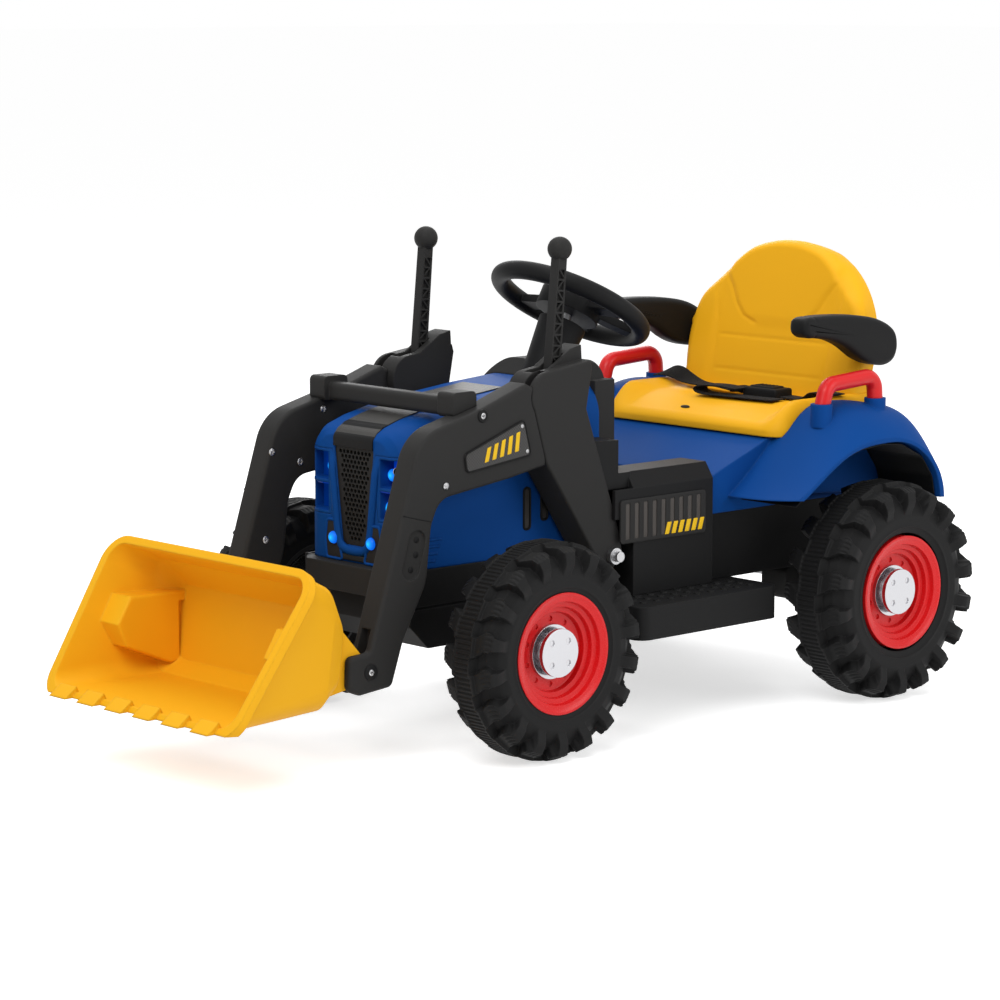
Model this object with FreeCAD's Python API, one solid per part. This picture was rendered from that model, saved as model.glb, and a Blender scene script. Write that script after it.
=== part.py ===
import FreeCAD, Part
import math
import os

# Ride-on loader tractor toy, in millimetres.
# +Z is up, -Y is the driving direction, +X is the driver's left.
# The origin is on the ground, in the middle of the outline.

# Stance
front_tyre_radius = 140.0
front_tyre_width = 90.0
rear_tyre_radius = 150.0
rear_tyre_width = 104.0
front_track = 482.0
rear_track = 536.0
wheelbase = 610.0
front_reach = 476.0

# Clearances shared by all fits
running_gap = 0.05
seat_gap = 0.3
swing_gap = 1.5
overrun = 20.0

# Tyres
bead_radius = 78.0
lug_count = 18
lug_length = 22.0
lug_slant = 9.0
carcass_shares = ((0.15, 0.925), (0.30, 0.90), (0.41, 0.83), (0.455, 0.72), (0.44, 0.62))
lug_root_share = 0.96
tread_shares = ((0.10, 0.972), (0.36, 0.96), (0.48, 0.925), (0.5, 0.85), (0.485, 0.745))
band_half_share = 0.20
bead_half_share = 0.40

# Rims and hub caps
rim_wall = 5.0
rim_flange_inset = 2.0
rim_dish_depth = 25.0
rim_disc_thickness = 6.0
rim_step_radius_shares = (0.60, 0.64, 0.66, 0.735, 0.755, 0.83, 0.85, 0.93)
rim_step_depth_shares = (0.0, 0.03, 0.30, 0.34, 0.60, 0.64, 0.90, 0.95)
rim_hub_radius = 17.0
rim_hub_length = 34.0
bolt_circle_radius = 42.0
bolt_dimple_radius = 3.5
bolt_dimple_depth = 2.0
bolt_dimple_count = 10
cap_ring_radius = 35.0
cap_ring_height = 5.0
cap_stem_radius = 24.0
cap_disc_radius = 31.0
cap_disc_thickness = 6.0
cap_height = 19.0
cap_screw_radius = 4.0
cap_screw_depth = 1.5
cap_screw_circle = 20.0
cap_screw_count = 4
axle_radius = 8.0
axle_end_gap = 1.0

# Front axle and steering linkage
kingpin_x = 186.0
kingpin_radius = 5.0
knuckle_radius = 12.0
knuckle_height = 36.0
fork_thickness = 8.0
beam_depth = 22.0
beam_height = 24.0
steering_arm_length = 60.0
steering_arm_width = 12.0
steering_arm_thickness = 9.0
tie_pin_radius = 4.0
tie_pin_length = 17.0
tie_eye_width = 14.0
tie_eye_length = 26.0
tie_eye_thickness = 10.0
tie_slot_front = 4.6
tie_slot_side = 0.6

# Chassis tub, with distances from the front axle or the rear axle
tub_wall = 4.0
tub_half_width = 105.0
tub_floor_z = 132.0
tub_front_overhang = 104.0
tub_front_top_z = 234.0
tub_ear_top_z = 256.0
tub_ear_start = 172.0
tunnel_start = 230.0
tunnel_top_z = 304.0
rear_tub_half_width = 148.0
rear_tub_start = 216.0
rear_tub_end = 140.0
rear_tub_top_z = 262.0
tub_nose_drop = 30.0
tub_seam_depth = 2.0
tub_seam_height = 4.0

# Nose skirt
skirt_depth = 22.0
skirt_half_width = 92.0
skirt_drop = 36.0
skirt_corner = 16.0

# Hood
hood_wall = 4.0
hood_front_overhang = 108.0
hood_half_width = 104.0
hood_height = 222.0
hood_section_y_shares = (0.0, 0.018, 0.055, 0.13, 0.25, 0.42, 0.68, 1.0)
hood_section_half_shares = (0.70, 0.84, 0.94, 0.972, 0.99, 1.0, 1.0, 1.0)
hood_section_top_shares = (0.735, 0.768, 0.80, 0.836, 0.876, 0.918, 0.962, 1.0)
hood_section_corner_shares = (0.30, 0.36, 0.42, 0.44, 0.455, 0.47, 0.475, 0.48)

# Stripe over the hood
stripe_half_width = 39.0
stripe_thickness = 1.6
stripe_start_share = 0.0
stripe_end_share = 0.66

# Grille
grille_top_half = 40.0
grille_bottom_half = 24.0
grille_height = 132.0
grille_rise = 22.0
grille_thickness = 8.0
grille_recess = 2.0
grille_corner = 9.0
mesh_pitch = 7.2
mesh_hole_radius = 2.9
mesh_margin = 6.0

# Headlights
lamp_inner_x = 43.0
lamp_outer_x = 94.0
lamp_top_rise = 144.0
lamp_bottom_rise = 58.0
lamp_depth = 34.0
lamp_frame = 4.0
lamp_tier_share = 0.5
lamp_slope_share = 0.30
lens_thickness = 6.0
fog_radius = 8.0
fog_x = 36.0
fog_rise = 28.0

# Hood side vents
vent_width = 9.0
vent_depth = 5.0
vent_rear_offset = 100.0
vent_pitch = 31.0
vent_mid_rise = 61.0
vent_length_shares = (1.0, 0.65)
vent_length = 55.0

# Dash and steering column
dash_depth = 36.0
dash_half_width = 96.0
dash_top_z = 452.0
cowl_half_width = 78.0
cowl_front_run = 84.0
cowl_rise = 22.0
cowl_corner = 44.0
column_tilt_deg = 30.0
wheel_centre_offset = 276.0
wheel_centre_z = 545.0
wheel_ring_radius = 102.0
wheel_tube_radius = 12.5
wheel_hub_radius = 44.0
wheel_hub_thickness = 26.0
wheel_dish = 16.0
wheel_spoke_width = 26.0
wheel_spoke_thickness = 11.0
wheel_spoke_angles_deg = (4.0, 58.0, 122.0, 176.0)
shaft_radius = 8.0
shaft_lower_length = 330.0
column_top_radius = 33.0
column_bottom_radius = 28.0
column_length = 66.0
column_top_gap = 14.0
horn_radius = 20.0
horn_height = 12.0
horn_proud = 5.0
horn_travel = 3.0

# Dash controls and pedal
power_radius = 11.0
power_x = 52.0
power_proud = 5.0
power_depth = 12.0
power_travel = 3.0
control_drop = 40.0
rocker_width = 20.0
rocker_height = 34.0
rocker_depth = 16.0
rocker_proud = 6.0
rocker_pivot_radius = 3.0
pedal_width = 46.0
pedal_length = 74.0
pedal_thickness = 7.0
pedal_pivot_radius = 5.0
pedal_tilt_deg = 24.0
pedal_x = 200.0
pedal_start = 12.0
pedal_ear_thickness = 5.0
pedal_ear_rim = 3.0

# Loader tower
tower_in = 112.0
tower_width = 48.0
tower_edge = 3.0
pivot_offset = 87.0
pivot_z = 449.0
pivot_boss_radius = 31.0
tower_depth = 165.0
tower_foot_z = 206.0
tower_height = 303.0
tower_bend_shares = (0.158, 0.515)
tower_outline_shares = (
    (0.636, 0.937), (0.655, 0.904), (0.594, 0.729), (0.964, 0.172), (1.0, 0.073), (0.867, 0.0),
    (0.733, 0.033), (0.679, 0.092))
tower_tier_shares = ((0.50, 0.985), (0.62, 1.0), (0.63, 0.92), (0.45, 0.80), (0.20, 0.80), (0.19, 0.88))
tower_tier_wall = 4.0
foot_bolt_shares = (0.879, 0.073)
foot_bolt_radius = 7.0
foot_bolt_head_radius = 11.0
foot_bolt_head_height = 8.0
pin_radius = 6.0
pin_inset = 2.5
tongue_width = 10.0
tongue_radius = 15.0
tongue_drop = 30.0
lever_x = 131.0
lever_boss_radius = 12.0
lever_pivot_back = 30.0
lever_pivot_up = 19.0
lever_slot_run = 40.0

# Booms, as shares of the reach and drop from the pivot to the foot pin
boom_width = 36.0
boom_edge = 5.0
boom_reach = 304.0
boom_drop = 321.0
boom_outline_shares = (
    (0.132, -0.059), (0.372, 0.019), (0.723, 0.104), (0.822, 0.396), (1.003, 0.925), (1.112, 0.931),
    (1.118, 1.062), (1.053, 1.087), (0.882, 1.072), (0.819, 0.900), (0.691, 0.682), (0.662, 0.458),
    (0.615, 0.362), (0.227, 0.315), (0.02, 0.280))
boom_corner_radii = (
    0.0, 60.0, 60.0, 60.0, 8.0, 8.0, 12.0, 10.0, 10.0, 30.0, 60.0, 40.0, 45.0, 60.0, 0.0, 0.0)
foot_tongue_width = 16.0
clevis_height = 52.0
clevis_back = 18.0
pill_low_shares = (0.780, 0.621)
pill_high_shares = (0.746, 0.513)
pill_radius = 14.0
pill_depth = 3.0

# Trim plates on the booms
plate_thickness = 1.6
plate_shares = ((0.487, 0.196), (0.151, 0.084), (0.112, 0.227), (0.474, 0.268))
plate_round = 5.0

# Cross bar
bar_height = 24.0
bar_depth = 24.0
bar_reach_share = 0.43
bar_drop_share = 0.0187
bar_round = 7.0
clamp_depth = 40.0
clamp_height = 32.0
clamp_inset = 18.0

# Hand levers
lever_length = 167.0
lever_lean_deg = 5.0
lever_width = 14.0
lever_depth_low = 18.0
lever_depth_high = 15.0
lever_ball_radius = 16.0
lever_pocket_depth = 4.0
lever_rail = 2.6
lever_rib_count = 9

# Bucket, with distances forward of and above the foot pin
bucket_wall = 5.0
bucket_rim = 6.0
bucket_rim_depth = 12.0
bucket_mouth_half = 204.0
bucket_lip_half = 189.0
bucket_mouth_reach = 125.0
bucket_mouth_rise = 141.0
bucket_lip_drop = 42.0
bucket_mid_half = 184.0
bucket_mid_low_half = 173.0
bucket_mid_reach = 72.0
bucket_mid_rise = 117.0
bucket_heel_reach = 84.0
bucket_heel_drop = 39.0
bucket_back_half = 166.0
bucket_back_low_half = 165.0
bucket_back_reach = 46.0
bucket_back_rise = 82.0
bucket_back_low_reach = 58.0
bucket_back_drop = 24.0
bucket_corner = 30.0
bucket_tooth_count = 6
bucket_tooth_width = 34.0
bucket_tooth_length = 12.0
bucket_tooth_height = 14.0
bucket_tongue_radius = 14.0
bucket_boss_depth = 14.0
bucket_boss_edge = 4.0
bucket_boss_shares = ((1.29, 0.27), (1.12, 0.51), (0.40, 0.50), (0.40, -0.13), (0.62, -0.16), (1.17, 0.05))
bucket_slot_width = 9.0
bucket_slot_reach_share = 0.47
bucket_slot_shares = (0.41, -0.10)

# Side boxes, panels and steps
box_outer_x = 166.0
box_start = 234.0
box_body_gap = 12.0
box_lip = 34.0
box_lip_low_z = 276.0
box_top_z = 315.0
box_plateau_z = 336.0
box_shoulder = 14.0
box_wall = 4.0
brace_shares = ((0.84, 0.36), (0.692, 0.581), (0.96, 0.575))
panel_margin = 8.0
panel_height = 58.0
panel_drop = 14.0
panel_thickness = 2.5
panel_frame = 5.0
panel_slot_count = 9
panel_slot_share = 0.50
panel_round = 5.0
step_outer_x = 240.0
step_start = 176.0
step_tyre_gap = 20.0
step_top_z = 171.0
step_height = 44.0
step_round = 18.0
step_wall = 4.0
step_knob_radius = 5.0
step_knob_height = 2.0
step_knob_rows = 3
step_knob_columns = 9

# Rear body and fenders, with distances from the rear axle
body_half_width = 150.0
body_wall = 4.0
body_front_run = 214.0
body_rear_run = 150.0
body_low_z = 262.0
body_deck_rise = 108.0
body_outline_shares = (
    (0.01, 0.0), (0.0, 0.46), (0.06, 0.55), (0.26, 0.80), (0.34, 0.92), (0.86, 1.0), (0.94, 0.98),
    (1.0, 0.55), (0.985, 0.0))
fender_outer_x = 272.0
fender_shoulder_x = 236.0
fender_inner_wall = 12.0
fender_span = 200.0
fender_rise = 140.0
fender_inner_shares = (
    (-0.90, 0.15), (-0.70, 0.36), (-0.49, 0.63), (-0.28, 0.895), (0.26, 0.90), (0.54, 0.83), (0.685, 0.56),
    (0.72, 0.0))
fender_shoulder_shares = (
    (-0.90, 0.17), (-0.70, 0.37), (-0.47, 0.65), (-0.20, 0.89), (0.22, 0.89), (0.50, 0.75), (0.66, 0.42),
    (0.715, 0.0))
fender_lip_shares = (
    (-0.86, 0.19), (-0.64, 0.37), (-0.42, 0.55), (-0.18, 0.66), (0.14, 0.675), (0.42, 0.54), (0.60, 0.27),
    (0.645, 0.02))
fender_arch_shares = (
    (-1.05, 0.10), (-0.90, 0.12), (-0.72, 0.25), (-0.55, 0.405), (-0.385, 0.535), (-0.20, 0.615),
    (0.02, 0.64), (0.22, 0.62), (0.445, 0.465), (0.565, 0.25), (0.60, 0.05), (0.60, -0.30))
socket_radius = 15.0
socket_height = 8.0

# Grab handles
handle_x = 214.0
handle_front_run = 64.0
handle_rear_run = 46.0
handle_rise = 25.0
handle_climb = 6.0
handle_front_lean = 10.0
handle_rear_lean = 3.0
handle_tube_radius = 11.0
handle_bend = 19.0

# Seat
seat_half_width = 173.0
seat_front_run = 106.0
seat_depth = 206.0
seat_base_height = 26.0
seat_round = 26.0
seat_bolster_width = 42.0
seat_bolster_height = 10.0
seat_lip_drop = 12.0
seat_lip_run = 34.0
back_lean_deg = 13.0
back_half_width = 164.0
back_set_back = 154.0
back_thickness = 46.0
back_height = 222.0
back_root = 30.0
back_outline_shares = (
    (0.60, -0.12), (0.97, -0.02), (1.0, 0.25), (1.0, 0.48), (0.91, 0.64), (0.74, 0.77), (0.52, 0.90),
    (0.27, 0.98))
back_depth_shares = (0.0, 0.10, 0.35, 0.80, 1.0)
back_scale_shares = (0.90, 0.965, 1.0, 0.97, 0.90)
arm_pivot_up = 86.0
arm_pivot_back = 40.0
arm_boss_radius = 13.0
arm_boss_length = 5.0
arm_pin_radius = 6.0

# Armrests
arm_width = 34.0
arm_front_run = 170.0
arm_outline_shares = (
    (1.0, 0.84), (0.985, 0.14), (0.62, 0.12), (0.24, -0.62), (0.0, -0.92), (-0.10, -0.70), (-0.13, 0.10),
    (0.02, 0.62), (0.40, 1.0), (0.85, 1.0))
arm_rise = 42.0
arm_round = 7.0
arm_edge = 8.0

# Lap belt
belt_width = 30.0
belt_thickness = 2.0
belt_set_back = 50.0
buckle_width = 58.0
buckle_length = 46.0
buckle_height = 15.0
buckle_x = 34.0
buckle_round = 6.0

# Power train
battery_length = 150.0
battery_width = 98.0
battery_shaft_gap = 29.2
battery_start = 20.0
gearbox_width = 46.0
gearbox_length = 104.0
gearbox_height = 48.0
gearbox_x = 118.0
gearbox_round = 12.0

# Places worked out from the sizes above
overall_length = front_reach + wheelbase + rear_tyre_radius
front_axle_y = front_reach - overall_length / 2
rear_axle_y = front_axle_y + wheelbase
front_axle_z = front_tyre_radius
rear_axle_z = rear_tyre_radius
front_wheel_x = front_track / 2
rear_wheel_x = rear_track / 2
hood_nose_y = front_axle_y - hood_front_overhang
tunnel_y = front_axle_y + tunnel_start
hood_rear_y = tunnel_y
hood_low_z = tub_front_top_z
hood_length = hood_rear_y - hood_nose_y
pivot_y = front_axle_y + pivot_offset
tower_y = pivot_y - pivot_boss_radius
tower_out = tower_in + tower_width
boom_in = tower_out - boom_width
boom_x = tower_out - boom_width / 2
lever_y = pivot_y + lever_pivot_back
lever_z = pivot_z + lever_pivot_up
slot_in = lever_x - lever_width / 2 - swing_gap
slot_out = lever_x + lever_width / 2 + swing_gap
tongue_in = slot_out + swing_gap
tongue_out = tongue_in + tongue_width
foot_pin_y = pivot_y - boom_reach
foot_pin_z = pivot_z - boom_drop
rear_tub_y = rear_axle_y - rear_tub_start
rear_tub_floor_z = step_top_z
box_y = front_axle_y + box_start
step_y = front_axle_y + step_start
step_end_y = rear_axle_y - rear_tyre_radius - step_tyre_gap
body_front_y = rear_axle_y - body_front_run
box_end_y = body_front_y - box_body_gap
body_length = body_front_run + body_rear_run
deck_z = body_low_z + body_deck_rise
seat_front_y = rear_axle_y - seat_front_run
seat_end_y = seat_front_y + seat_depth
seat_back_y = seat_front_y + back_set_back
wheel_centre_y = front_axle_y + wheel_centre_offset
shaft_end_z = wheel_centre_z - shaft_lower_length * math.cos(math.radians(column_tilt_deg))
column_axis = FreeCAD.Vector(0, math.sin(math.radians(column_tilt_deg)),
                             math.cos(math.radians(column_tilt_deg)))
X_AXIS = FreeCAD.Vector(1, 0, 0)
ORIGIN = FreeCAD.Vector(0, 0, 0)


def corner_points(before, corner, after, radius):
    """Start, middle and end of the arc that rounds a corner, in the outline's plane."""
    u = (before - corner).normalize()
    w = (after - corner).normalize()
    half = u.getAngle(w) / 2
    run = radius / math.tan(half)
    middle = (u + w).normalize() * (radius / math.sin(half) - radius)
    return corner + u * run, corner + middle, corner + w * run


def rounded_wire(points, radius=0):
    """Closed wire through the points, each corner rounded by one radius or its own, as far as it fits."""
    count = len(points)
    radii = radius if isinstance(radius, tuple) else (radius,) * count
    stops = []
    for i, corner in enumerate(points):
        before = points[i - 1]
        after = points[(i + 1) % count]
        half = (before - corner).getAngle(after - corner) / 2
        room = min((before - corner).Length, (after - corner).Length) * math.tan(half) / 2
        size = min(radii[i], room)
        if size > 0 and half < math.pi / 2:
            stops.append(corner_points(before, corner, after, size))
        else:
            stops.append((corner, None, corner))
    edges = []
    for i, (start, middle, end) in enumerate(stops):
        if middle is not None:
            edges.append(Part.Arc(start, middle, end).toShape())
        following = stops[(i + 1) % count][0]
        if (following - end).Length > running_gap:
            edges.append(Part.makeLine(end, following))
    return Part.Wire(Part.__sortEdges__(edges))


def prism_x(points, x0, x1, radius=0):
    """Outline of (y, z) points carried along X."""
    wire = rounded_wire([FreeCAD.Vector(x0, y, z) for y, z in points], radius)
    return Part.Face(wire).extrude(FreeCAD.Vector(x1 - x0, 0, 0))


def prism_y(points, y0, y1, radius=0):
    """Outline of (x, z) points carried along Y."""
    wire = rounded_wire([FreeCAD.Vector(x, y0, z) for x, z in points], radius)
    return Part.Face(wire).extrude(FreeCAD.Vector(0, y1 - y0, 0))


def prism_z(points, z0, z1, radius=0):
    """Outline of (x, y) points carried along Z."""
    wire = rounded_wire([FreeCAD.Vector(x, y, z0) for x, y in points], radius)
    return Part.Face(wire).extrude(FreeCAD.Vector(0, 0, z1 - z0))


def rounded_rims(solid, radius, *places):
    """Solid with every edge that lies flat in one of the given X planes rounded."""
    edges = [edge for edge in solid.Edges for x in places
             if max(abs(edge.BoundBox.XMin - x), abs(edge.BoundBox.XMax - x)) < running_gap]
    return solid.makeFillet(radius, edges)


def block(x0, x1, y0, y1, z0, z1):
    return Part.makeBox(x1 - x0, y1 - y0, z1 - z0, FreeCAD.Vector(x0, y0, z0))


def rod(start, end, radius):
    run = end - start
    return Part.makeCylinder(radius, run.Length, start, run)


def rod_x(x0, x1, y, z, radius):
    return rod(FreeCAD.Vector(x0, y, z), FreeCAD.Vector(x1, y, z), radius)


def turned(profile, x, y, z):
    """Solid of revolution about the X line through (y, z), from (along, radius) points."""
    points = [FreeCAD.Vector(x + along, y, z + radius) for along, radius in profile]
    face = Part.Face(Part.makePolygon(points + points[:1]))
    return face.revolve(FreeCAD.Vector(x, y, z), X_AXIS, 360)


def mirrored(shape):
    return shape.mirror(ORIGIN, X_AXIS)


def save(name, shape):
    os.makedirs("parts", exist_ok=True)
    shape.exportStep("parts/" + name + ".step")


def save_pair(name, left):
    save(name + "_left", left)
    save(name + "_right", mirrored(left))


def tyre(radius, width):
    """Carcass with staggered shoulder lugs and a raised centre band, about the origin."""
    outer = [(width * u, radius * v) for u, v in carcass_shares]
    bead = width * bead_half_share
    band = width * band_half_share
    right = outer + [(bead, bead_radius)]
    left = [(-a, r) for a, r in reversed(right)]
    carcass = turned(left + right, 0, 0, 0)
    centre = turned([(-band, bead_radius), (-band, radius), (band, radius), (band, bead_radius)], 0, 0, 0)
    crown = [(width * u, radius * v) for u, v in tread_shares]
    root = lug_root_share
    low = [(width * root * u, radius * root * v) for u, v in reversed(carcass_shares)]
    shoulder = turned(crown + low, 0, 0, 0)
    lugs = []
    half = lug_length / 2
    for i in range(lug_count):
        outline = [(0, -half - lug_slant), (width, half), (width, half + lug_length), (0, half - lug_slant)]
        lug = prism_z(outline, 0, radius + overrun)
        lug.rotate(ORIGIN, X_AXIS, i * 360 / lug_count)
        lugs.append(lug)
    side = Part.makeCompound([shoulder.common(lug) for lug in lugs])
    other = mirrored(side)
    other.rotate(ORIGIN, X_AXIS, 180 / lug_count)
    solids = [centre] + side.Solids + other.Solids
    return carcass.fuse(solids).removeSplitter()


def rim(width):
    """Dished rim with stepped rings, a hub and a ring of bolt dimples, about the origin."""
    outer_radius = bead_radius - running_gap
    flange = width * bead_half_share + rim_flange_inset
    disc = flange - rim_dish_depth
    steps = [(disc + rim_dish_depth * d, outer_radius * r)
             for r, d in zip(rim_step_radius_shares, rim_step_depth_shares)]
    bore = axle_radius + running_gap
    back = disc - rim_disc_thickness
    inner = outer_radius - rim_wall
    profile = [(disc, bore)] + steps + [
        (flange, outer_radius * rim_step_radius_shares[-1] + rim_wall / 2), (flange, outer_radius),
        (-width * bead_half_share, outer_radius), (-width * bead_half_share, inner), (back, inner),
        (back, rim_hub_radius), (disc - rim_hub_length, rim_hub_radius), (disc - rim_hub_length, bore)]
    solid = turned(profile, 0, 0, 0)
    for i in range(bolt_dimple_count):
        angle = 2 * math.pi * i / bolt_dimple_count
        y = bolt_circle_radius * math.sin(angle)
        z = bolt_circle_radius * math.cos(angle)
        solid = solid.cut(rod_x(disc - bolt_dimple_depth, disc + overrun, y, z, bolt_dimple_radius))
    return solid


def hub_cap(width):
    """Chromed cap: a base ring on the rim's disc, a stem and a face disc with screw dents."""
    disc = width * bead_half_share + rim_flange_inset - rim_dish_depth
    hollow = axle_radius + axle_end_gap
    top = disc + cap_height
    face = top - cap_disc_thickness
    solid = turned([(disc, hollow), (disc, cap_ring_radius), (disc + cap_ring_height, cap_ring_radius),
                    (disc + cap_ring_height, cap_stem_radius), (face, cap_stem_radius),
                    (face, cap_disc_radius),
                    (top, cap_disc_radius), (top, 0), (face, 0), (face, hollow)], 0, 0, 0)
    for i in range(cap_screw_count):
        angle = 2 * math.pi * (i + 1 / 2) / cap_screw_count
        y = cap_screw_circle * math.sin(angle)
        z = cap_screw_circle * math.cos(angle)
        solid = solid.cut(rod_x(top - cap_screw_depth, top + overrun, y, z, cap_screw_radius))
    return solid


def wheels():
    axles = (("front", front_tyre_radius, front_tyre_width, front_wheel_x, front_axle_y, front_axle_z),
             ("rear", rear_tyre_radius, rear_tyre_width, rear_wheel_x, rear_axle_y, rear_axle_z))
    for end, radius, width, x, y, z in axles:
        place = FreeCAD.Vector(x, y, z)
        for name, shape in (("tyre", tyre(radius, width)), ("rim", rim(width)), ("hub_cap", hub_cap(width))):
            save_pair(name + "_" + end, shape.translated(place))


def axle_tip(width, x):
    """X of the end of an axle, just inside its hub cap."""
    disc = width * bead_half_share + rim_flange_inset - rim_dish_depth
    return x + disc + cap_height - cap_disc_thickness - axle_end_gap


def rear_axle():
    tip = axle_tip(rear_tyre_width, rear_wheel_x)
    return rod_x(-tip, tip, rear_axle_y, rear_axle_z, axle_radius)


def front_axle_beam():
    """Bar across the tub, with a fork and a kingpin at each end."""
    half_y = beam_depth / 2
    half_z = beam_height / 2
    near = kingpin_x - knuckle_radius - swing_gap
    half_fork = knuckle_height / 2 + seat_gap
    outer_fork = half_fork + fork_thickness
    bar = block(-near, near, front_axle_y - half_y, front_axle_y + half_y,
                front_axle_z - half_z, front_axle_z + half_z)
    pieces = [bar]
    for side in (-1, 1):
        post_x = sorted((side * near, side * (near - fork_thickness)))
        ear_x = sorted((side * (near - fork_thickness), side * (kingpin_x + knuckle_radius)))
        pieces.append(block(post_x[0], post_x[1], front_axle_y - half_y, front_axle_y + half_y,
                            front_axle_z - outer_fork, front_axle_z + outer_fork))
        for low, high in ((half_fork, outer_fork), (-outer_fork, -half_fork)):
            pieces.append(block(ear_x[0], ear_x[1], front_axle_y - half_y, front_axle_y + half_y,
                                front_axle_z + low, front_axle_z + high))
        pieces.append(rod(FreeCAD.Vector(side * kingpin_x, front_axle_y, front_axle_z - outer_fork),
                          FreeCAD.Vector(side * kingpin_x, front_axle_y, front_axle_z + outer_fork),
                          kingpin_radius))
    return pieces[0].fuse(pieces[1:]).removeSplitter()


def knuckle():
    """Left steering knuckle: kingpin barrel, stub axle, steering arm and its pin."""
    half = knuckle_height / 2
    low = FreeCAD.Vector(kingpin_x, front_axle_y, front_axle_z - half)
    high = FreeCAD.Vector(kingpin_x, front_axle_y, front_axle_z + half)
    barrel = rod(low, high, knuckle_radius)
    stub = rod_x(kingpin_x, axle_tip(front_tyre_width, front_wheel_x), front_axle_y, front_axle_z,
                 axle_radius)
    arm_end = front_axle_y + steering_arm_length
    arm = block(kingpin_x - steering_arm_width / 2, kingpin_x + steering_arm_width / 2, front_axle_y,
                arm_end + steering_arm_width / 2, front_axle_z - half,
                front_axle_z - half + steering_arm_thickness)
    pin_top = front_axle_z - half + steering_arm_thickness / 2
    pin = rod(FreeCAD.Vector(kingpin_x, arm_end, pin_top),
              FreeCAD.Vector(kingpin_x, arm_end, pin_top - steering_arm_thickness / 2 - tie_pin_length),
              tie_pin_radius)
    solid = barrel.fuse([stub, arm, pin])
    return solid.cut(rod(low, high, kingpin_radius + running_gap)).removeSplitter()


def tie_rod():
    """Rod between the steering arms, with an eye at each end that lets the arm's pin swing fore and aft."""
    y = front_axle_y + steering_arm_length
    top = front_axle_z - knuckle_height / 2 - swing_gap
    low = top - tie_eye_thickness
    mid = (top + low) / 2
    solid = rod_x(-kingpin_x, kingpin_x, y, mid, tie_eye_thickness / 2)
    eyes = []
    slots = []
    hole = tie_pin_radius + tie_slot_side
    for side in (-1, 1):
        x = side * kingpin_x
        eyes.append(block(x - tie_eye_width / 2, x + tie_eye_width / 2, y - tie_eye_length / 2,
                          y + tie_eye_length / 2, low, top))
        slots.append(block(x - hole, x + hole, y - tie_pin_radius - tie_slot_front,
                           y + hole, low - overrun, top + overrun))
    return solid.fuse(eyes).cut(slots[0].fuse(slots[1])).removeSplitter()


def chassis_tub():
    """Black lower tub: front bay under the hood, centre tunnel and a wide rear bay, all hollow."""
    front = front_axle_y - tub_front_overhang
    ear = front_axle_y + tub_ear_start
    rear = rear_axle_y + rear_tub_end
    half = tub_half_width
    wide = rear_tub_half_width
    bay = prism_x([(front, tub_floor_z + tub_nose_drop), (front + tub_nose_drop, tub_floor_z),
                   (rear_tub_y, tub_floor_z), (rear_tub_y, tunnel_top_z), (tunnel_y, tunnel_top_z),
                   (tunnel_y, tub_ear_top_z), (ear, tub_ear_top_z), (ear, tub_front_top_z),
                   (front, tub_front_top_z)],
                  -half, half)
    back = block(-wide, wide, rear_tub_y, rear, rear_tub_floor_z, rear_tub_top_z)
    outer = bay.fuse(back)
    inner_half = half - tub_wall
    inner_wide = wide - tub_wall
    floor = tub_floor_z + tub_wall
    front_room = prism_x([(front + tub_wall, floor + tub_nose_drop), (front + tub_nose_drop, floor),
                          (tunnel_y + tub_wall, floor), (tunnel_y + tub_wall, tub_ear_top_z - tub_wall),
                          (tunnel_y - tub_wall, tub_ear_top_z - tub_wall), (tunnel_y - tub_wall,
                                                                            tunnel_top_z),
                          (front + tub_wall, tunnel_top_z)], -inner_half, inner_half)
    tunnel_room = block(-inner_half, inner_half, tunnel_y, rear_tub_y + tub_wall + overrun, floor,
                        tunnel_top_z - tub_wall)
    rear_room = block(-inner_wide, inner_wide, rear_tub_y + tub_wall, rear - tub_wall,
                      rear_tub_floor_z + tub_wall, rear_tub_top_z + overrun)
    beam = block(-half - overrun, half + overrun, front_axle_y - beam_depth / 2 - seat_gap,
                 front_axle_y + beam_depth / 2 + seat_gap, tub_floor_z - overrun,
                 front_axle_z + beam_height / 2)
    seam_z = (tub_floor_z + tub_front_top_z) / 2
    seams = [block(x, x + overrun, front - overrun, step_y, seam_z, seam_z + tub_seam_height)
             for x in (half - tub_seam_depth, -half + tub_seam_depth - overrun)]
    return outer.cut([front_room, tunnel_room, rear_room, beam] + seams).removeSplitter()


def nose_skirt():
    """Grey skirt that closes the front of the tub under the hood's nose."""
    y = front_axle_y - tub_front_overhang
    front = y - skirt_depth
    half = skirt_half_width
    inner = half - skirt_corner
    return prism_z([(-half, y), (-half, y - skirt_depth / 3), (-inner, front), (inner, front),
                    (half, y - skirt_depth / 3), (half, y)],
                   tub_front_top_z - skirt_drop, tub_front_top_z - seat_gap, skirt_corner / 2)


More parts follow.
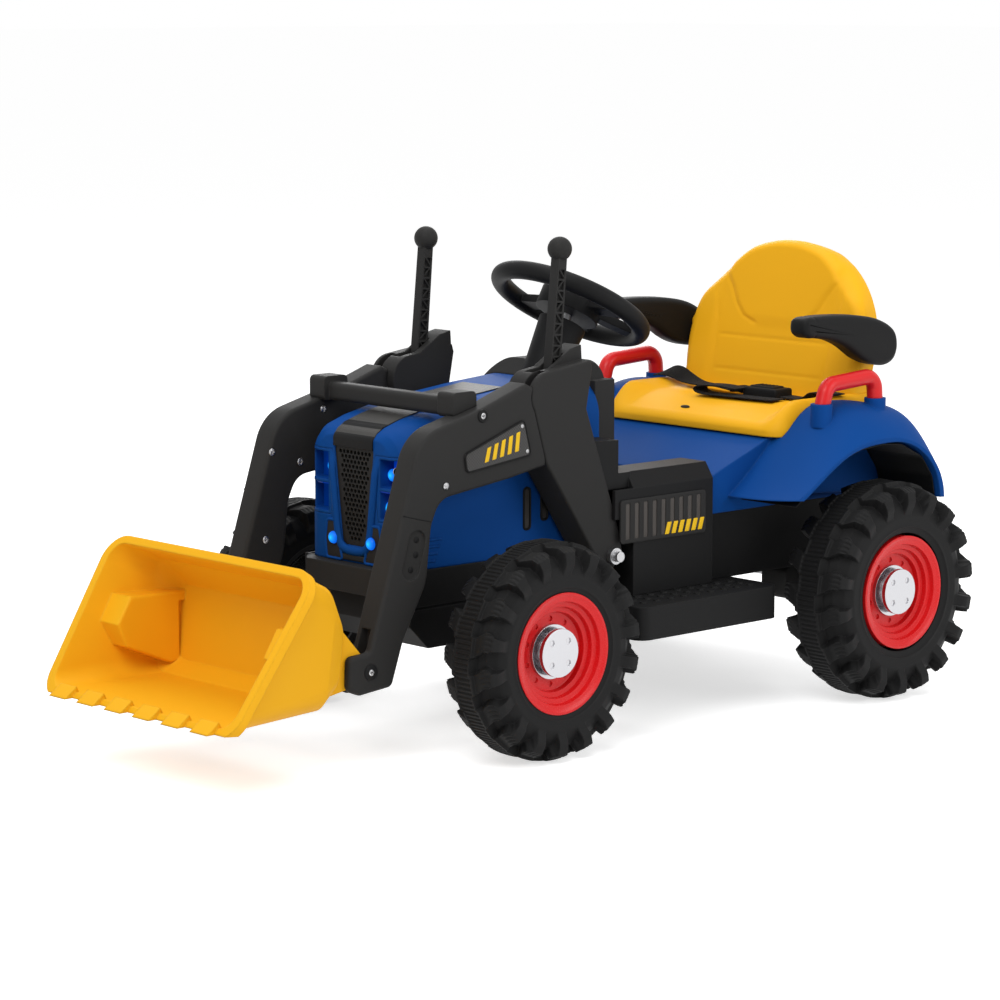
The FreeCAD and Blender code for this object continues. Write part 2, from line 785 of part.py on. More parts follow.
def hood_section(share_index, y, inset, low_z):
    """Closed arch outline of the hood at one station, drawn inset by a wall."""
    half = hood_half_width * hood_section_half_shares[share_index] - inset
    top = hood_low_z + hood_height * hood_section_top_shares[share_index] - inset
    corner = hood_half_width * hood_section_corner_shares[share_index]
    bow = corner * (1 - math.sqrt(1 / 2))
    start = FreeCAD.Vector(-half, y, low_z)
    left = FreeCAD.Vector(-half, y, top - corner)
    left_mid = FreeCAD.Vector(-half + bow, y, top - bow)
    left_top = FreeCAD.Vector(-half + corner, y, top)
    right_top = FreeCAD.Vector(half - corner, y, top)
    right_mid = FreeCAD.Vector(half - bow, y, top - bow)
    right = FreeCAD.Vector(half, y, top - corner)
    end = FreeCAD.Vector(half, y, low_z)
    return Part.Wire([Part.makeLine(start, left), Part.Arc(left, left_mid, left_top).toShape(),
                      Part.makeLine(left_top, right_top), Part.Arc(right_top, right_mid, right).toShape(),
                      Part.makeLine(right, end), Part.makeLine(end, start)])


def hood_form(inset, nose_inset, rear_inset, low_z):
    """Solid form of the hood, lofted through its stations."""
    last = len(hood_section_y_shares) - 1
    wires = []
    for i, share in enumerate(hood_section_y_shares):
        y = hood_nose_y + hood_length * share
        if i == 0:
            y += nose_inset
        if i == last:
            y -= rear_inset
        wires.append(hood_section(i, y, inset, low_z))
    return Part.makeLoft(wires, True, True)


def column_rod(low, high, radius):
    """Cylinder on the steering axis, between two distances from the wheel's centre."""
    centre = FreeCAD.Vector(0, wheel_centre_y, wheel_centre_z)
    return rod(centre + column_axis * low, centre + column_axis * high, radius)


def grille_outline(grow):
    """Shield outline of the grille as (x, z) points."""
    low = hood_low_z + grille_rise - grow
    high = hood_low_z + grille_rise + grille_height + grow
    top = grille_top_half + grow
    bottom = grille_bottom_half + grow
    return [(-bottom, low), (bottom, low), (top, high), (-top, high)]


def grille():
    """Shield plate with a honeycomb of holes."""
    front = hood_nose_y + grille_recess
    wire = rounded_wire([FreeCAD.Vector(x, front, z) for x, z in grille_outline(-seat_gap)], grille_corner)
    holes = []
    rise = mesh_pitch * math.sqrt(3) / 2
    rows = int((grille_height - mesh_margin * 2) / rise)
    taper = (grille_top_half - grille_bottom_half) / grille_height
    for row in range(rows):
        up = mesh_margin + mesh_hole_radius + row * rise
        half = grille_bottom_half + taper * up - mesh_margin - mesh_hole_radius
        if up < grille_corner + mesh_margin:
            half -= mesh_margin
        shift = (row % 2) * mesh_pitch / 2
        columns = int((half - shift) / mesh_pitch)
        places = [shift + mesh_pitch * i for i in range(columns + 1)] if half > shift else []
        for x in sorted(set(places + [-p for p in places])):
            if abs(x) <= half:
                z = hood_low_z + grille_rise + up
                corners = [FreeCAD.Vector(x + mesh_hole_radius * math.sin(math.pi * k / 3), front,
                                          z + mesh_hole_radius * math.cos(math.pi * k / 3))
                                          for k in range(7)]
                holes.append(Part.Wire(Part.makePolygon(corners)))
    plate = Part.Face([wire] + holes, "Part::FaceMakerBullseye")
    return plate.extrude(FreeCAD.Vector(0, grille_thickness, 0))


def lamp_room(grow):
    """Space of the left headlight, from the nose back into the hood."""
    low = hood_low_z + lamp_bottom_rise - grow
    high = hood_low_z + lamp_top_rise + grow
    return prism_y([(lamp_inner_x - grow, low + (high - low) * lamp_slope_share),
                    (lamp_inner_x + lamp_frame, low),
                    (lamp_outer_x + grow, low), (lamp_outer_x + grow, high),
                    (lamp_inner_x - grow, high)], hood_nose_y - overrun, hood_nose_y + lamp_depth + grow)


def lamp_windows():
    """The two recesses of the left headlight, as (low, high) heights."""
    low = hood_low_z + lamp_bottom_rise
    high = hood_low_z + lamp_top_rise
    middle = low + (high - low) * lamp_tier_share
    return ((low + lamp_frame, middle - lamp_frame / 2), (middle + lamp_frame / 2, high - lamp_frame))


def headlight():
    """Left headlight housing: a block that follows the nose, with two tiered recesses."""
    body = lamp_room(-seat_gap).common(hood_form(0, 0, 0, hood_low_z))
    for low, high in lamp_windows():
        body = body.cut(block(lamp_inner_x + lamp_frame * 2, lamp_outer_x - lamp_frame,
                              hood_nose_y - overrun,
                              hood_nose_y + lamp_depth - lamp_frame, low, high))
    return body


def lamp_lenses():
    """Lenses of both headlights and of the round lamps below them."""
    back = hood_nose_y + lamp_depth - lamp_frame
    lenses = []
    for low, high in lamp_windows():
        lens = block(lamp_inner_x + lamp_frame * 2 + seat_gap, lamp_outer_x - lamp_frame - seat_gap,
                     back - lens_thickness, back, low + seat_gap, high - seat_gap)
        lenses.append(lens)
    z = hood_low_z + fog_rise
    centre = FreeCAD.Vector(fog_x, hood_nose_y, z)
    fog = rod(centre, FreeCAD.Vector(fog_x, hood_nose_y + hood_wall, z), fog_radius - seat_gap)
    lenses.append(fog)
    return Part.makeCompound(lenses + [mirrored(lens) for lens in lenses])


def vent_places():
    """Centre y and length of each side vent slot."""
    rear = hood_rear_y - vent_rear_offset
    return [(rear - vent_pitch * (len(vent_length_shares) - 1 - i), vent_length * share)
            for i, share in enumerate(vent_length_shares)]


def vent_slot(y, length, depth, grow):
    z = hood_low_z + vent_mid_rise
    half = vent_width / 2 + grow
    run = length / 2 + grow
    return prism_x([(y - half, z - run), (y + half, z - run), (y + half, z + run), (y - half, z + run)],
                   hood_half_width - depth, hood_half_width, half / 2)


def hood():
    """Blue hood shell, open below, with its grille, lamp, vent and column openings."""
    low = hood_low_z
    shell = hood_form(0, 0, 0, low).cut(hood_form(hood_wall, hood_wall, hood_wall, low - overrun))
    notch = block(-hood_half_width - overrun, hood_half_width + overrun,
                  front_axle_y + tub_ear_start - seat_gap,
                  hood_rear_y + overrun, low - overrun, tub_ear_top_z)
    front_cut = prism_y(grille_outline(0), hood_nose_y - overrun, hood_nose_y + grille_thickness * 2,
                        grille_corner)
    fog = rod(FreeCAD.Vector(fog_x, hood_nose_y - overrun, low + fog_rise),
              FreeCAD.Vector(fog_x, hood_nose_y + lamp_depth, low + fog_rise), fog_radius)
    cuts = [notch, front_cut, column_rod(-shaft_lower_length, 0, shaft_radius + swing_gap)]
    for cut in [lamp_room(0), fog] + [vent_slot(y, run, vent_depth + overrun, 0) for y,
                                      run in vent_places()]:
        cuts += [cut, mirrored(cut)]
    return shell.cut(cuts).removeSplitter()


def hood_vents():
    vents = [vent_slot(y, run, vent_depth, -seat_gap) for y, run in vent_places()]
    return Part.makeCompound(vents + [mirrored(vent) for vent in vents])


def hood_stripe():
    """Thin dark panel laid over the middle of the hood."""
    start = hood_nose_y + hood_length * stripe_start_share
    end = hood_nose_y + hood_length * stripe_end_share
    skin = hood_form(-stripe_thickness, 0, 0, hood_low_z).cut(hood_form(0, 0, 0, hood_low_z - overrun))
    middle = hood_low_z + hood_height / 2
    return skin.common(block(-stripe_half_width, stripe_half_width, start, end, middle,
                             dash_top_z + overrun))


def dash_cowl():
    """Dash block behind the hood, with a domed cowl that runs forward over the hood."""
    rear = tunnel_y + dash_depth
    half = dash_half_width
    panel = block(-half, half, tunnel_y, rear, tunnel_top_z, dash_top_z)
    front = rear - cowl_front_run - dash_depth
    top = dash_top_z + cowl_rise
    wide = cowl_half_width
    dome = prism_y([(-wide, dash_top_z - cowl_corner), (wide, dash_top_z - cowl_corner), (wide, top),
                    (-wide, top)],
                   front, rear, cowl_corner)
    slope = prism_x([(front - overrun, top + overrun), (front - overrun, dash_top_z - cowl_corner),
                     (front, dash_top_z - cowl_corner), (front + cowl_corner * 2, top + overrun)],
                    -wide - overrun, wide + overrun)
    solid = panel.fuse(dome).cut(slope).cut(hood_form(0, 0, 0, tub_front_top_z))
    inner = block(-half + hood_wall, half - hood_wall, tunnel_y + hood_wall, rear - hood_wall,
                  tunnel_top_z - overrun,
                  dash_top_z - hood_wall)
    shaft = column_rod(-shaft_lower_length, 0, shaft_radius + swing_gap)
    controls = [power_rod(power_depth + power_travel, power_radius), rocker_room()]
    solid = solid.cut([inner, shaft] + controls).removeSplitter()
    return max(solid.Solids, key=lambda piece: piece.Volume)


def column_cover():
    """Tapered cover round the steering shaft, standing on the cowl."""
    top = -wheel_dish - column_top_gap
    base = FreeCAD.Vector(0, wheel_centre_y, wheel_centre_z) + column_axis * (top - column_length - overrun)
    slope = (column_top_radius - column_bottom_radius) / column_length
    low_radius = column_bottom_radius - slope * overrun
    cone = Part.makeCone(low_radius, column_top_radius, column_length + overrun, base, column_axis)
    bore = column_rod(-shaft_lower_length, 0, shaft_radius + running_gap)
    standing = cone.cut([bore, dash_solid, hood_form(0, 0, 0, hood_low_z)])
    return max(standing.Solids, key=lambda piece: piece.CenterOfMass.z)


def steering_shaft():
    return column_rod(-shaft_lower_length, -wheel_dish, shaft_radius)


def steering_wheel():
    """Round rim, dished hub and four flat spokes, on the steering axis."""
    hub = Part.makeCylinder(wheel_hub_radius, wheel_hub_thickness, FreeCAD.Vector(0, 0, -wheel_dish))
    ring = Part.makeTorus(wheel_ring_radius, wheel_tube_radius)
    spokes = []
    for angle in wheel_spoke_angles_deg:
        spoke = block(0, wheel_ring_radius, -wheel_spoke_width / 2, wheel_spoke_width / 2,
                      -wheel_spoke_thickness / 2, wheel_spoke_thickness / 2)
        spoke.rotate(ORIGIN, FreeCAD.Vector(0, 0, 1), angle)
        spokes.append(spoke)
    horn = horn_radius + swing_gap / 3
    top = wheel_hub_thickness - wheel_dish
    well = Part.makeCylinder(horn, horn_height, FreeCAD.Vector(0, 0,
                                                               top - horn_height + horn_proud - horn_travel))
    solid = ring.fuse([hub] + spokes).cut(well).removeSplitter()
    return on_column(solid)


def on_column(shape):
    """Turn a shape drawn about Z at the origin onto the steering axis."""
    shape.rotate(ORIGIN, X_AXIS, -column_tilt_deg)
    shape.translate(FreeCAD.Vector(0, wheel_centre_y, wheel_centre_z))
    return shape


def horn_button():
    top = wheel_hub_thickness - wheel_dish + horn_proud
    return on_column(Part.makeCylinder(horn_radius, horn_height, FreeCAD.Vector(0, 0, top - horn_height)))


def power_rod(depth, radius):
    """Cylinder through the dash's rear face, left of the column, for the power button and its room."""
    rear = tunnel_y + dash_depth
    z = dash_top_z - control_drop
    return rod(FreeCAD.Vector(power_x, rear - depth, z), FreeCAD.Vector(power_x, rear + power_proud, z),
               radius)


def rocker_room():
    """Space of the direction rocker on the dash, right of the column."""
    rear = tunnel_y + dash_depth
    z = dash_top_z - control_drop
    half_x = rocker_width / 2
    half_z = rocker_height / 2
    return block(-power_x - half_x, -power_x + half_x, rear - rocker_depth, rear + rocker_proud, z - half_z,
                 z + half_z)


def direction_rocker():
    """Rocking switch cap with a shallow V face."""
    rear = tunnel_y + dash_depth
    z = dash_top_z - control_drop
    half_x = rocker_width / 2 - swing_gap
    half_z = rocker_height / 2 - swing_gap * 2
    nose = rear + rocker_proud
    cap = prism_x([(rear - rocker_depth / 2, z - half_z / 2), (nose, z - half_z), (nose - rocker_proud / 3,
                                                                                   z),
                   (nose, z + half_z), (rear - rocker_depth / 2, z + half_z / 2)], -power_x - half_x,
                   -power_x + half_x)
    reach = rocker_width / 2 - running_gap
    pivot = rod_x(-power_x - reach, -power_x + reach, rear - rocker_depth / 4, z, rocker_pivot_radius)
    return cap.fuse(pivot).removeSplitter()


def pedal_pivot():
    """Side-view (y, z) of the pedal's pivot, just clear of the step's knobs."""
    return (step_y + step_round + pedal_start + pedal_length,
            step_top_z + pedal_pivot_radius + step_knob_height + seat_gap)


def pedal_ears():
    """Two lugs on the right step that carry the ends of the pedal's pivot."""
    y, z = pedal_pivot()
    reach = pedal_pivot_radius + pedal_ear_rim
    near = pedal_width / 2 + swing_gap
    far = near + pedal_ear_thickness
    ears = []
    for x0, x1 in ((-pedal_x - far, -pedal_x - near), (-pedal_x + near, -pedal_x + far)):
        ears.append(block(x0, x1, y - reach, y + reach, step_top_z - step_wall / 2, z + reach))
    return ears


def accelerator_pedal():
    """Foot pedal on the right step, hinged at its heel."""
    y, z = pedal_pivot()
    half = pedal_width / 2
    pad = block(-pedal_x - half, -pedal_x + half, y - pedal_length, y, z, z + pedal_thickness)
    pad.rotate(FreeCAD.Vector(0, y, z), X_AXIS, -pedal_tilt_deg)
    reach = half + swing_gap + pedal_ear_thickness
    return pad.fuse(rod_x(-pedal_x - reach, -pedal_x + reach, y, z, pedal_pivot_radius)).removeSplitter()


def tower_point(share):
    """Side-view (y, z) of a share of the tower's depth and height, from its front foot corner."""
    return (tower_y + tower_depth * share[0], tower_foot_z + tower_height * share[1])


def tower_points():
    """Side outline of a tower, with its pivot boss as a corner, as (y, z) points."""
    points = [tower_point(share) for share in tower_outline_shares]
    top = points[0]
    run = math.hypot(top[0] - pivot_y, top[1] - pivot_z)
    angle = math.atan2(top[1] - pivot_z, top[0] - pivot_y) + math.acos(pivot_boss_radius / run)
    tangent = (pivot_y + pivot_boss_radius * math.cos(angle), pivot_z + pivot_boss_radius * math.sin(angle))
    return points + [tower_point(tower_bend_shares), (tower_y, pivot_z), (pivot_y, pivot_z), tangent]


def tower():
    """Left loader tower: a tall post with a raised inner tier, a lever slot and a boom room."""
    boss = rod_x(tower_in, tower_out, pivot_y, pivot_z, pivot_boss_radius)
    post = prism_x(tower_points(), tower_in, tower_out).fuse(boss).removeSplitter()
    post = rounded_rims(post, tower_edge, tower_out)
    tier = prism_x([tower_point(share) for share in tower_tier_shares], tower_in, slot_out + tower_tier_wall)
    solid = post.fuse(tier)
    top = tower_foot_z + tower_height + overrun
    slot = block(slot_in, slot_out, lever_y - lever_slot_run, lever_y + lever_boss_radius + swing_gap,
                 lever_z - lever_boss_radius - swing_gap, top)
    room_low = pivot_z - tongue_drop - swing_gap
    room_in = tongue_in - swing_gap / 2
    room_out = tongue_out + swing_gap
    front_room = block(room_in, room_out, tower_y - overrun, pivot_y, room_low, pivot_z + pivot_boss_radius)
    eye_room = rod_x(room_in, room_out, pivot_y, pivot_z, tongue_radius + swing_gap)
    bolt_y, bolt_z = tower_point(foot_bolt_shares)
    pin = pin_radius + running_gap
    holes = [rod_x(tower_in + pin_inset, tower_out - pin_inset, pivot_y, pivot_z, pin),
             rod_x(tower_in + pin_inset, tower_out - pin_inset, lever_y, lever_z, pin),
             rod_x(tower_in - overrun, tower_out + overrun, bolt_y, bolt_z, foot_bolt_radius + running_gap)]
    return solid.cut([slot, front_room, eye_room] + holes).removeSplitter()


def loader_pins():
    """Boom pins, lever pins and foot bolts of both towers, as separate solids."""
    bolt_y, bolt_z = tower_point(foot_bolt_shares)
    boom_pin = rod_x(tower_in + pin_inset, tower_out - pin_inset, pivot_y, pivot_z, pin_radius)
    lever_pin = rod_x(tower_in + pin_inset, tower_out - pin_inset, lever_y, lever_z, pin_radius)
    shank = rod_x(tower_in, tower_out, bolt_y, bolt_z, foot_bolt_radius)
    spacer = rod_x(tub_half_width, tower_in, bolt_y, bolt_z, foot_bolt_head_radius)
    head = rod_x(tower_out, tower_out + foot_bolt_head_height, bolt_y, bolt_z, foot_bolt_head_radius)
    nose = rod_x(tower_out, tower_out + foot_bolt_head_height * 2, bolt_y, bolt_z, foot_bolt_radius)
    bolt = shank.fuse([spacer, head, nose]).removeSplitter()
    pins = [boom_pin, lever_pin, bolt]
    return Part.makeCompound(pins + [mirrored(pin) for pin in pins])


def boom_point(share):
    """Side-view (y, z) of a share of the boom's reach and drop, from its pivot."""
    return (pivot_y - boom_reach * share[0], pivot_z - boom_drop * share[1])


def boom():
    """Left boom: a curved box arm with a pivot tongue behind and a forked foot in front."""
    outline = [boom_point(share) for share in boom_outline_shares] + [(pivot_y, pivot_z)]
    arm = prism_x(outline, boom_in, tower_out, boom_corner_radii)
    arm = rounded_rims(arm, boom_edge, boom_in, tower_out)
    bend = tower_point(tower_bend_shares)
    behind = pivot_y + tower_depth
    clear = prism_x([(tower_y - swing_gap, pivot_z), (bend[0] - swing_gap, bend[1]),
                     (bend[0] - swing_gap, tower_foot_z), (behind, tower_foot_z), (behind, pivot_z)],
                    boom_in - overrun, tower_out + overrun)
    boss = rod_x(boom_in - overrun, tower_out + overrun, pivot_y, pivot_z, pivot_boss_radius + swing_gap)
    arm = arm.cut([clear, boss])
    reach = pivot_boss_radius + overrun
    neck = prism_x([(pivot_y, pivot_z + tongue_radius), (pivot_y - reach, pivot_z + tongue_radius / 3),
                    (pivot_y - reach, pivot_z - tongue_drop), (pivot_y, pivot_z - tongue_radius)],
                   tongue_in, tongue_out)
    arm = arm.fuse([neck, rod_x(tongue_in, tongue_out, pivot_y, pivot_z, tongue_radius)])
    fork = foot_tongue_width / 2 + swing_gap / 2
    clevis = block(boom_x - fork, boom_x + fork, foot_pin_y - boom_reach, foot_pin_y + clevis_back,
                   foot_pin_z - boom_drop, foot_pin_z + clevis_height)
    low = boom_point(pill_low_shares)
    high = boom_point(pill_high_shares)
    face = tower_out - pill_depth
    pill = rod_x(face, tower_out + overrun, low[0], low[1], pill_radius)
    pill = pill.fuse(rod_x(face, tower_out + overrun, high[0], high[1], pill_radius))
    run = FreeCAD.Vector(0, high[0] - low[0], high[1] - low[1])
    side = FreeCAD.Vector(0, -run.z, run.y).normalize() * pill_radius
    slot = prism_x([(low[0] + side.y, low[1] + side.z), (high[0] + side.y, high[1] + side.z),
                    (high[0] - side.y, high[1] - side.z), (low[0] - side.y, low[1] - side.z)],
                   face, tower_out + overrun)
    pin = pin_radius + running_gap
    holes = [rod_x(boom_in - overrun, tower_out + overrun, pivot_y, pivot_z, pin),
             rod_x(boom_in - overrun, tower_out + overrun, foot_pin_y, foot_pin_z, pin)]
    return arm.cut([clevis, pill, slot] + holes).removeSplitter()


def boom_plates():
    plate = prism_x([boom_point(share) for share in plate_shares], tower_out, tower_out + plate_thickness,
                    plate_round)
    return Part.makeCompound([plate, mirrored(plate)])


def cross_bar(left_boom):
    """Square bar between the booms, with a clamp block seated over each boom's top edge."""
    y = pivot_y - boom_reach * bar_reach_share
    z = pivot_z - boom_drop * bar_drop_share
    half = bar_depth / 2
    low = z - bar_height / 2
    high = z + bar_height / 2
    bar = prism_x([(y - half, low), (y + half, low), (y + half, high), (y - half, high)], -boom_in, boom_in,
                  bar_round)
    reach = clamp_depth / 2
    top = low + clamp_height
    clamp = prism_x([(y - reach, low), (y + reach, low), (y + reach, top), (y - reach, top)], tower_in,
                    tower_out - clamp_inset, bar_round)
    solid = bar.fuse([clamp, mirrored(clamp)])
    return solid.cut([left_boom, mirrored(left_boom)]).removeSplitter()


def lever():
    """Left hand lever: a tapered bar with a zigzag of ribs in each face, a pivot eye and a ball knob."""
    half = lever_width / 2
    low = lever_depth_low / 2
    high = lever_depth_high / 2
    x0 = lever_x - half
    x1 = lever_x + half
    top = lever_length - lever_ball_radius / 2
    bar = prism_x([(-low, 0), (low, 0), (high, top), (-high, top)], x0, x1)
    start = lever_boss_radius + lever_rail
    pocket_run = top - lever_ball_radius - start
    taper = (low - high) / top
    web = lever_width / 2 - lever_pocket_depth
    pockets = []
    for i in range(lever_rib_count):
        z0 = start + pocket_run * i / lever_rib_count
        z1 = start + pocket_run * (i + 1) / lever_rib_count - lever_rail
        d0 = low - taper * z0 - lever_rail
        d1 = low - taper * z1 - lever_rail
        sign = 1 if i % 2 else -1
        corners = [(-sign * d0, z0), (sign * d0, z0), (sign * d1, z1)]
        rest = [(-sign * d0, z0 + lever_rail), (sign * (d1 - lever_rail), z1), (-sign * d1, z1)]
        for shape in (corners, rest):
            pockets.append(prism_x(shape, x0 - overrun, lever_x - web))
            pockets.append(prism_x(shape, lever_x + web, x1 + overrun))
    bar = bar.cut(pockets)
    eye = rod_x(x0, x1, 0, 0, lever_boss_radius)
    ball = Part.makeSphere(lever_ball_radius, FreeCAD.Vector(lever_x, 0, lever_length))
    solid = bar.fuse([eye, ball]).cut(rod_x(x0 - overrun, x1 + overrun, 0, 0, pin_radius + running_gap))
    solid.rotate(ORIGIN, X_AXIS, -lever_lean_deg)
    return solid.translated(FreeCAD.Vector(0, lever_y, lever_z)).removeSplitter()


def bucket_sections(inset, ahead):
    """Rounded four-cornered wires of the bucket: mouth, middle and back, drawn inset by a wall."""
    lip_reach = foot_pin_y - front_axle_y + front_reach - bucket_tooth_length
    rows = ((bucket_mouth_half, bucket_mouth_reach, bucket_mouth_rise, bucket_lip_half, lip_reach,
             -bucket_lip_drop),
            (bucket_mid_half, bucket_mid_reach, bucket_mid_rise, bucket_mid_low_half, bucket_heel_reach,
             -bucket_heel_drop),
            (bucket_back_half, bucket_back_reach, bucket_back_rise, bucket_back_low_half,
             bucket_back_low_reach,
             -bucket_back_drop))
    wires = []
    for half, reach, rise, low_half, low_reach, low_rise in rows:
        top = FreeCAD.Vector(0, foot_pin_y - reach, foot_pin_z + rise)
        low = FreeCAD.Vector(0, foot_pin_y - low_reach, foot_pin_z + low_rise)
        edge = (top - low).normalize()
        shift = FreeCAD.Vector(0, -edge.z, edge.y) * ahead
        top = top - edge * inset + shift
        low = low + edge * inset + shift
        corners = [low - X_AXIS * (low_half - inset), low + X_AXIS * (low_half - inset),
                   top + X_AXIS * (half - inset), top - X_AXIS * (half - inset)]
        wires.append(rounded_wire(corners, bucket_corner - inset))
    return wires


def bucket():
    """Yellow scoop with a thick rim, teeth, two tongues for the booms and their pins."""
    filled = Part.makeLoft(bucket_sections(0, 0), True, True)
    shell = filled.cut(Part.makeLoft(bucket_sections(bucket_wall, bucket_wall), True, True))
    rim_back = bucket_sections(-bucket_rim, -bucket_rim_depth)[0]
    rim_front = bucket_sections(-bucket_rim, 0)[0]
    hole_back = bucket_sections(bucket_wall, -overrun)[0]
    hole_front = bucket_sections(bucket_wall, overrun)[0]
    frame = Part.makeLoft([rim_front, rim_back], True, True).cut(Part.makeLoft([hole_front, hole_back],
                                                                               True, True))
    floor_z = foot_pin_z - bucket_lip_drop
    tip = front_axle_y - front_reach
    lip = tip + bucket_tooth_length
    low = block(-bucket_mouth_half * 2, bucket_mouth_half * 2, tip - overrun, foot_pin_y, 0, floor_z)
    pieces = [frame.cut(low)]
    pitch = (bucket_lip_half - bucket_corner / 2) * 2 / bucket_tooth_count
    for i in range(bucket_tooth_count):
        x = pitch * (i + 1 / 2 - bucket_tooth_count / 2)
        half = bucket_tooth_width / 2
        pieces.append(prism_x([(lip + bucket_tooth_height, floor_z), (tip, floor_z),
                               (lip + bucket_tooth_height / 2, floor_z + bucket_tooth_height)], x - half,
                               x + half))
    x0 = boom_x - foot_tongue_width / 2
    x1 = boom_x + foot_tongue_width / 2
    back_y = foot_pin_y - bucket_back_reach - bucket_wall / 2
    low_y = foot_pin_y - bucket_back_low_reach - bucket_wall / 2
    tongue = prism_x([(foot_pin_y, foot_pin_z + bucket_tongue_radius),
                      (back_y, foot_pin_z + bucket_back_rise - bucket_tongue_radius),
                      (low_y, foot_pin_z - bucket_back_drop), (foot_pin_y,
                                                               foot_pin_z - bucket_tongue_radius)], x0, x1)
    eye = rod_x(x0, x1, foot_pin_y, foot_pin_z, bucket_tongue_radius)
    pin = rod_x(boom_in, tower_out, foot_pin_y, foot_pin_z, pin_radius)
    for piece in (tongue, eye, pin, bucket_boss(filled)):
        pieces += [piece, mirrored(piece)]
    return shell.fuse(pieces).removeSplitter()


def bucket_boss(filled):
    """Six-sided raised boss with a slot, on the inside of the bucket's left wall."""
    inner = bucket_back_half - bucket_wall - bucket_boss_depth
    outline = [(foot_pin_y - bucket_mouth_reach * u, foot_pin_z + bucket_mouth_rise * v)
               for u, v in bucket_boss_shares]
    boss = rounded_rims(prism_x(outline, inner, bucket_mouth_half), bucket_boss_edge, inner)
    y = foot_pin_y - bucket_mouth_reach * bucket_slot_reach_share
    high, low = [foot_pin_z + bucket_mouth_rise * v for v in bucket_slot_shares]
    slot = block(inner - overrun, inner + bucket_boss_depth / 2, y - bucket_slot_width / 2,
                 y + bucket_slot_width / 2, low, high)
    return boss.cut(slot).common(filled)


def side_box():
    """Left side box on the step, with a front lip beside the tower and a brace to the tower's back."""
    x0 = tub_half_width
    x1 = box_outer_x
    shoulder = x1 - box_shoulder
    main = prism_y([(x0, step_top_z), (x1, step_top_z), (x1, box_top_z), (shoulder, box_plateau_z),
                    (x0, box_plateau_z)],
                   box_y, box_end_y)
    room = prism_y([(x0 + box_wall, step_top_z - overrun), (x1 - box_wall, step_top_z - overrun),
                    (x1 - box_wall, box_top_z - box_wall), (x0 + box_wall, box_top_z - box_wall)],
                   box_y + box_wall, box_end_y - box_wall)
    lip = block(tower_out + seat_gap, x1, box_y - box_lip, box_y, box_lip_low_z, box_top_z)
    front = [(tower_y + tower_depth * u + swing_gap / 2, tower_foot_z + tower_height * v)
             for u, v in brace_shares]
    tie = box_y + box_wall
    brace = prism_x(front + [(front[-1][0], box_plateau_z), (tie, box_plateau_z), (tie, box_top_z)],
                    tower_in + box_wall, tower_out - box_wall)
    return main.cut(room).fuse([lip, brace]).removeSplitter()


def side_panels():
    """Slotted trim panels on the outer faces of the side boxes."""
    y0 = box_y - box_lip + panel_margin
    y1 = box_end_y - panel_margin * 2
    z1 = box_top_z - panel_drop
    z0 = z1 - panel_height
    x = box_outer_x
    panel = prism_x([(y0, z0), (y1, z0), (y1, z1), (y0, z1)], x, x + panel_thickness, panel_round)
    pitch = (y1 - y0 - panel_frame * 2) / panel_slot_count
    slots = []
    for i in range(panel_slot_count):
        y = y0 + panel_frame + pitch * (i + 1 / 2)
        half = pitch * panel_slot_share / 2
        slots.append(prism_x([(y - half, z0 + panel_frame), (y + half, z0 + panel_frame),
                              (y + half, z1 - panel_frame), (y - half, z1 - panel_frame)],
                             x + panel_thickness / 2, x + overrun, half / 2))
    panel = panel.cut(slots)
    return Part.makeCompound([panel, mirrored(panel)])


def right_step(left):
    """Right foot step: the left one mirrored, with the pedal's lugs."""
    y, z = pedal_pivot()
    bore = rod_x(-step_outer_x, 0, y, z, pedal_pivot_radius + running_gap)
    return mirrored(left).fuse(pedal_ears()).cut(bore).removeSplitter()


def step():
    """Left foot step: a hollow tread with rows of round grip knobs."""
    x0 = tub_half_width
    x1 = step_outer_x
    y1 = step_end_y
    low = step_top_z - step_height
    w = step_wall
    solid = prism_z([(x0, step_y), (x1, step_y), (x1, y1), (x0, y1)], low, step_top_z,
                    (0, step_round, step_round, 0))
    inner = [(x0 + w, step_y + w), (x1 - w, step_y + w), (x1 - w, y1 - w), (x0 + w, y1 - w)]
    solid = solid.cut(prism_z(inner, low - overrun, step_top_z - w, (0, step_round - w, step_round - w, 0)))
    knobs = []
    run_x = x1 - step_round - box_outer_x
    run_y = step_end_y - step_y - step_round * 2
    for i in range(step_knob_rows):
        for j in range(step_knob_columns):
            x = box_outer_x + run_x * (i + 1 / 2) / step_knob_rows
            y = step_y + step_round + run_y * (j + 1 / 2) / step_knob_columns
            base = FreeCAD.Vector(x, y, step_top_z - w / 2)
            knobs.append(rod(base, base + FreeCAD.Vector(0, 0, w / 2 + step_knob_height), step_knob_radius))
    return solid.fuse(knobs).removeSplitter()


def fender_point(share):
    """Side-view (y, z) of a share of the fender's span and rise, from the axle and the body's lower edge."""
    return (rear_axle_y + fender_span * share[0], body_low_z + fender_rise * share[1])


def fender_wire(x, shares):
    """Side outline of the left fender at one X: a smooth crown closed by a straight lower edge."""
    points = [FreeCAD.Vector(x, y, z) for y, z in map(fender_point, shares)]
    crown = Part.BSplineCurve()
    crown.interpolate(points)
    return Part.Wire([crown.toShape(), Part.makeLine(points[-1], points[0])])


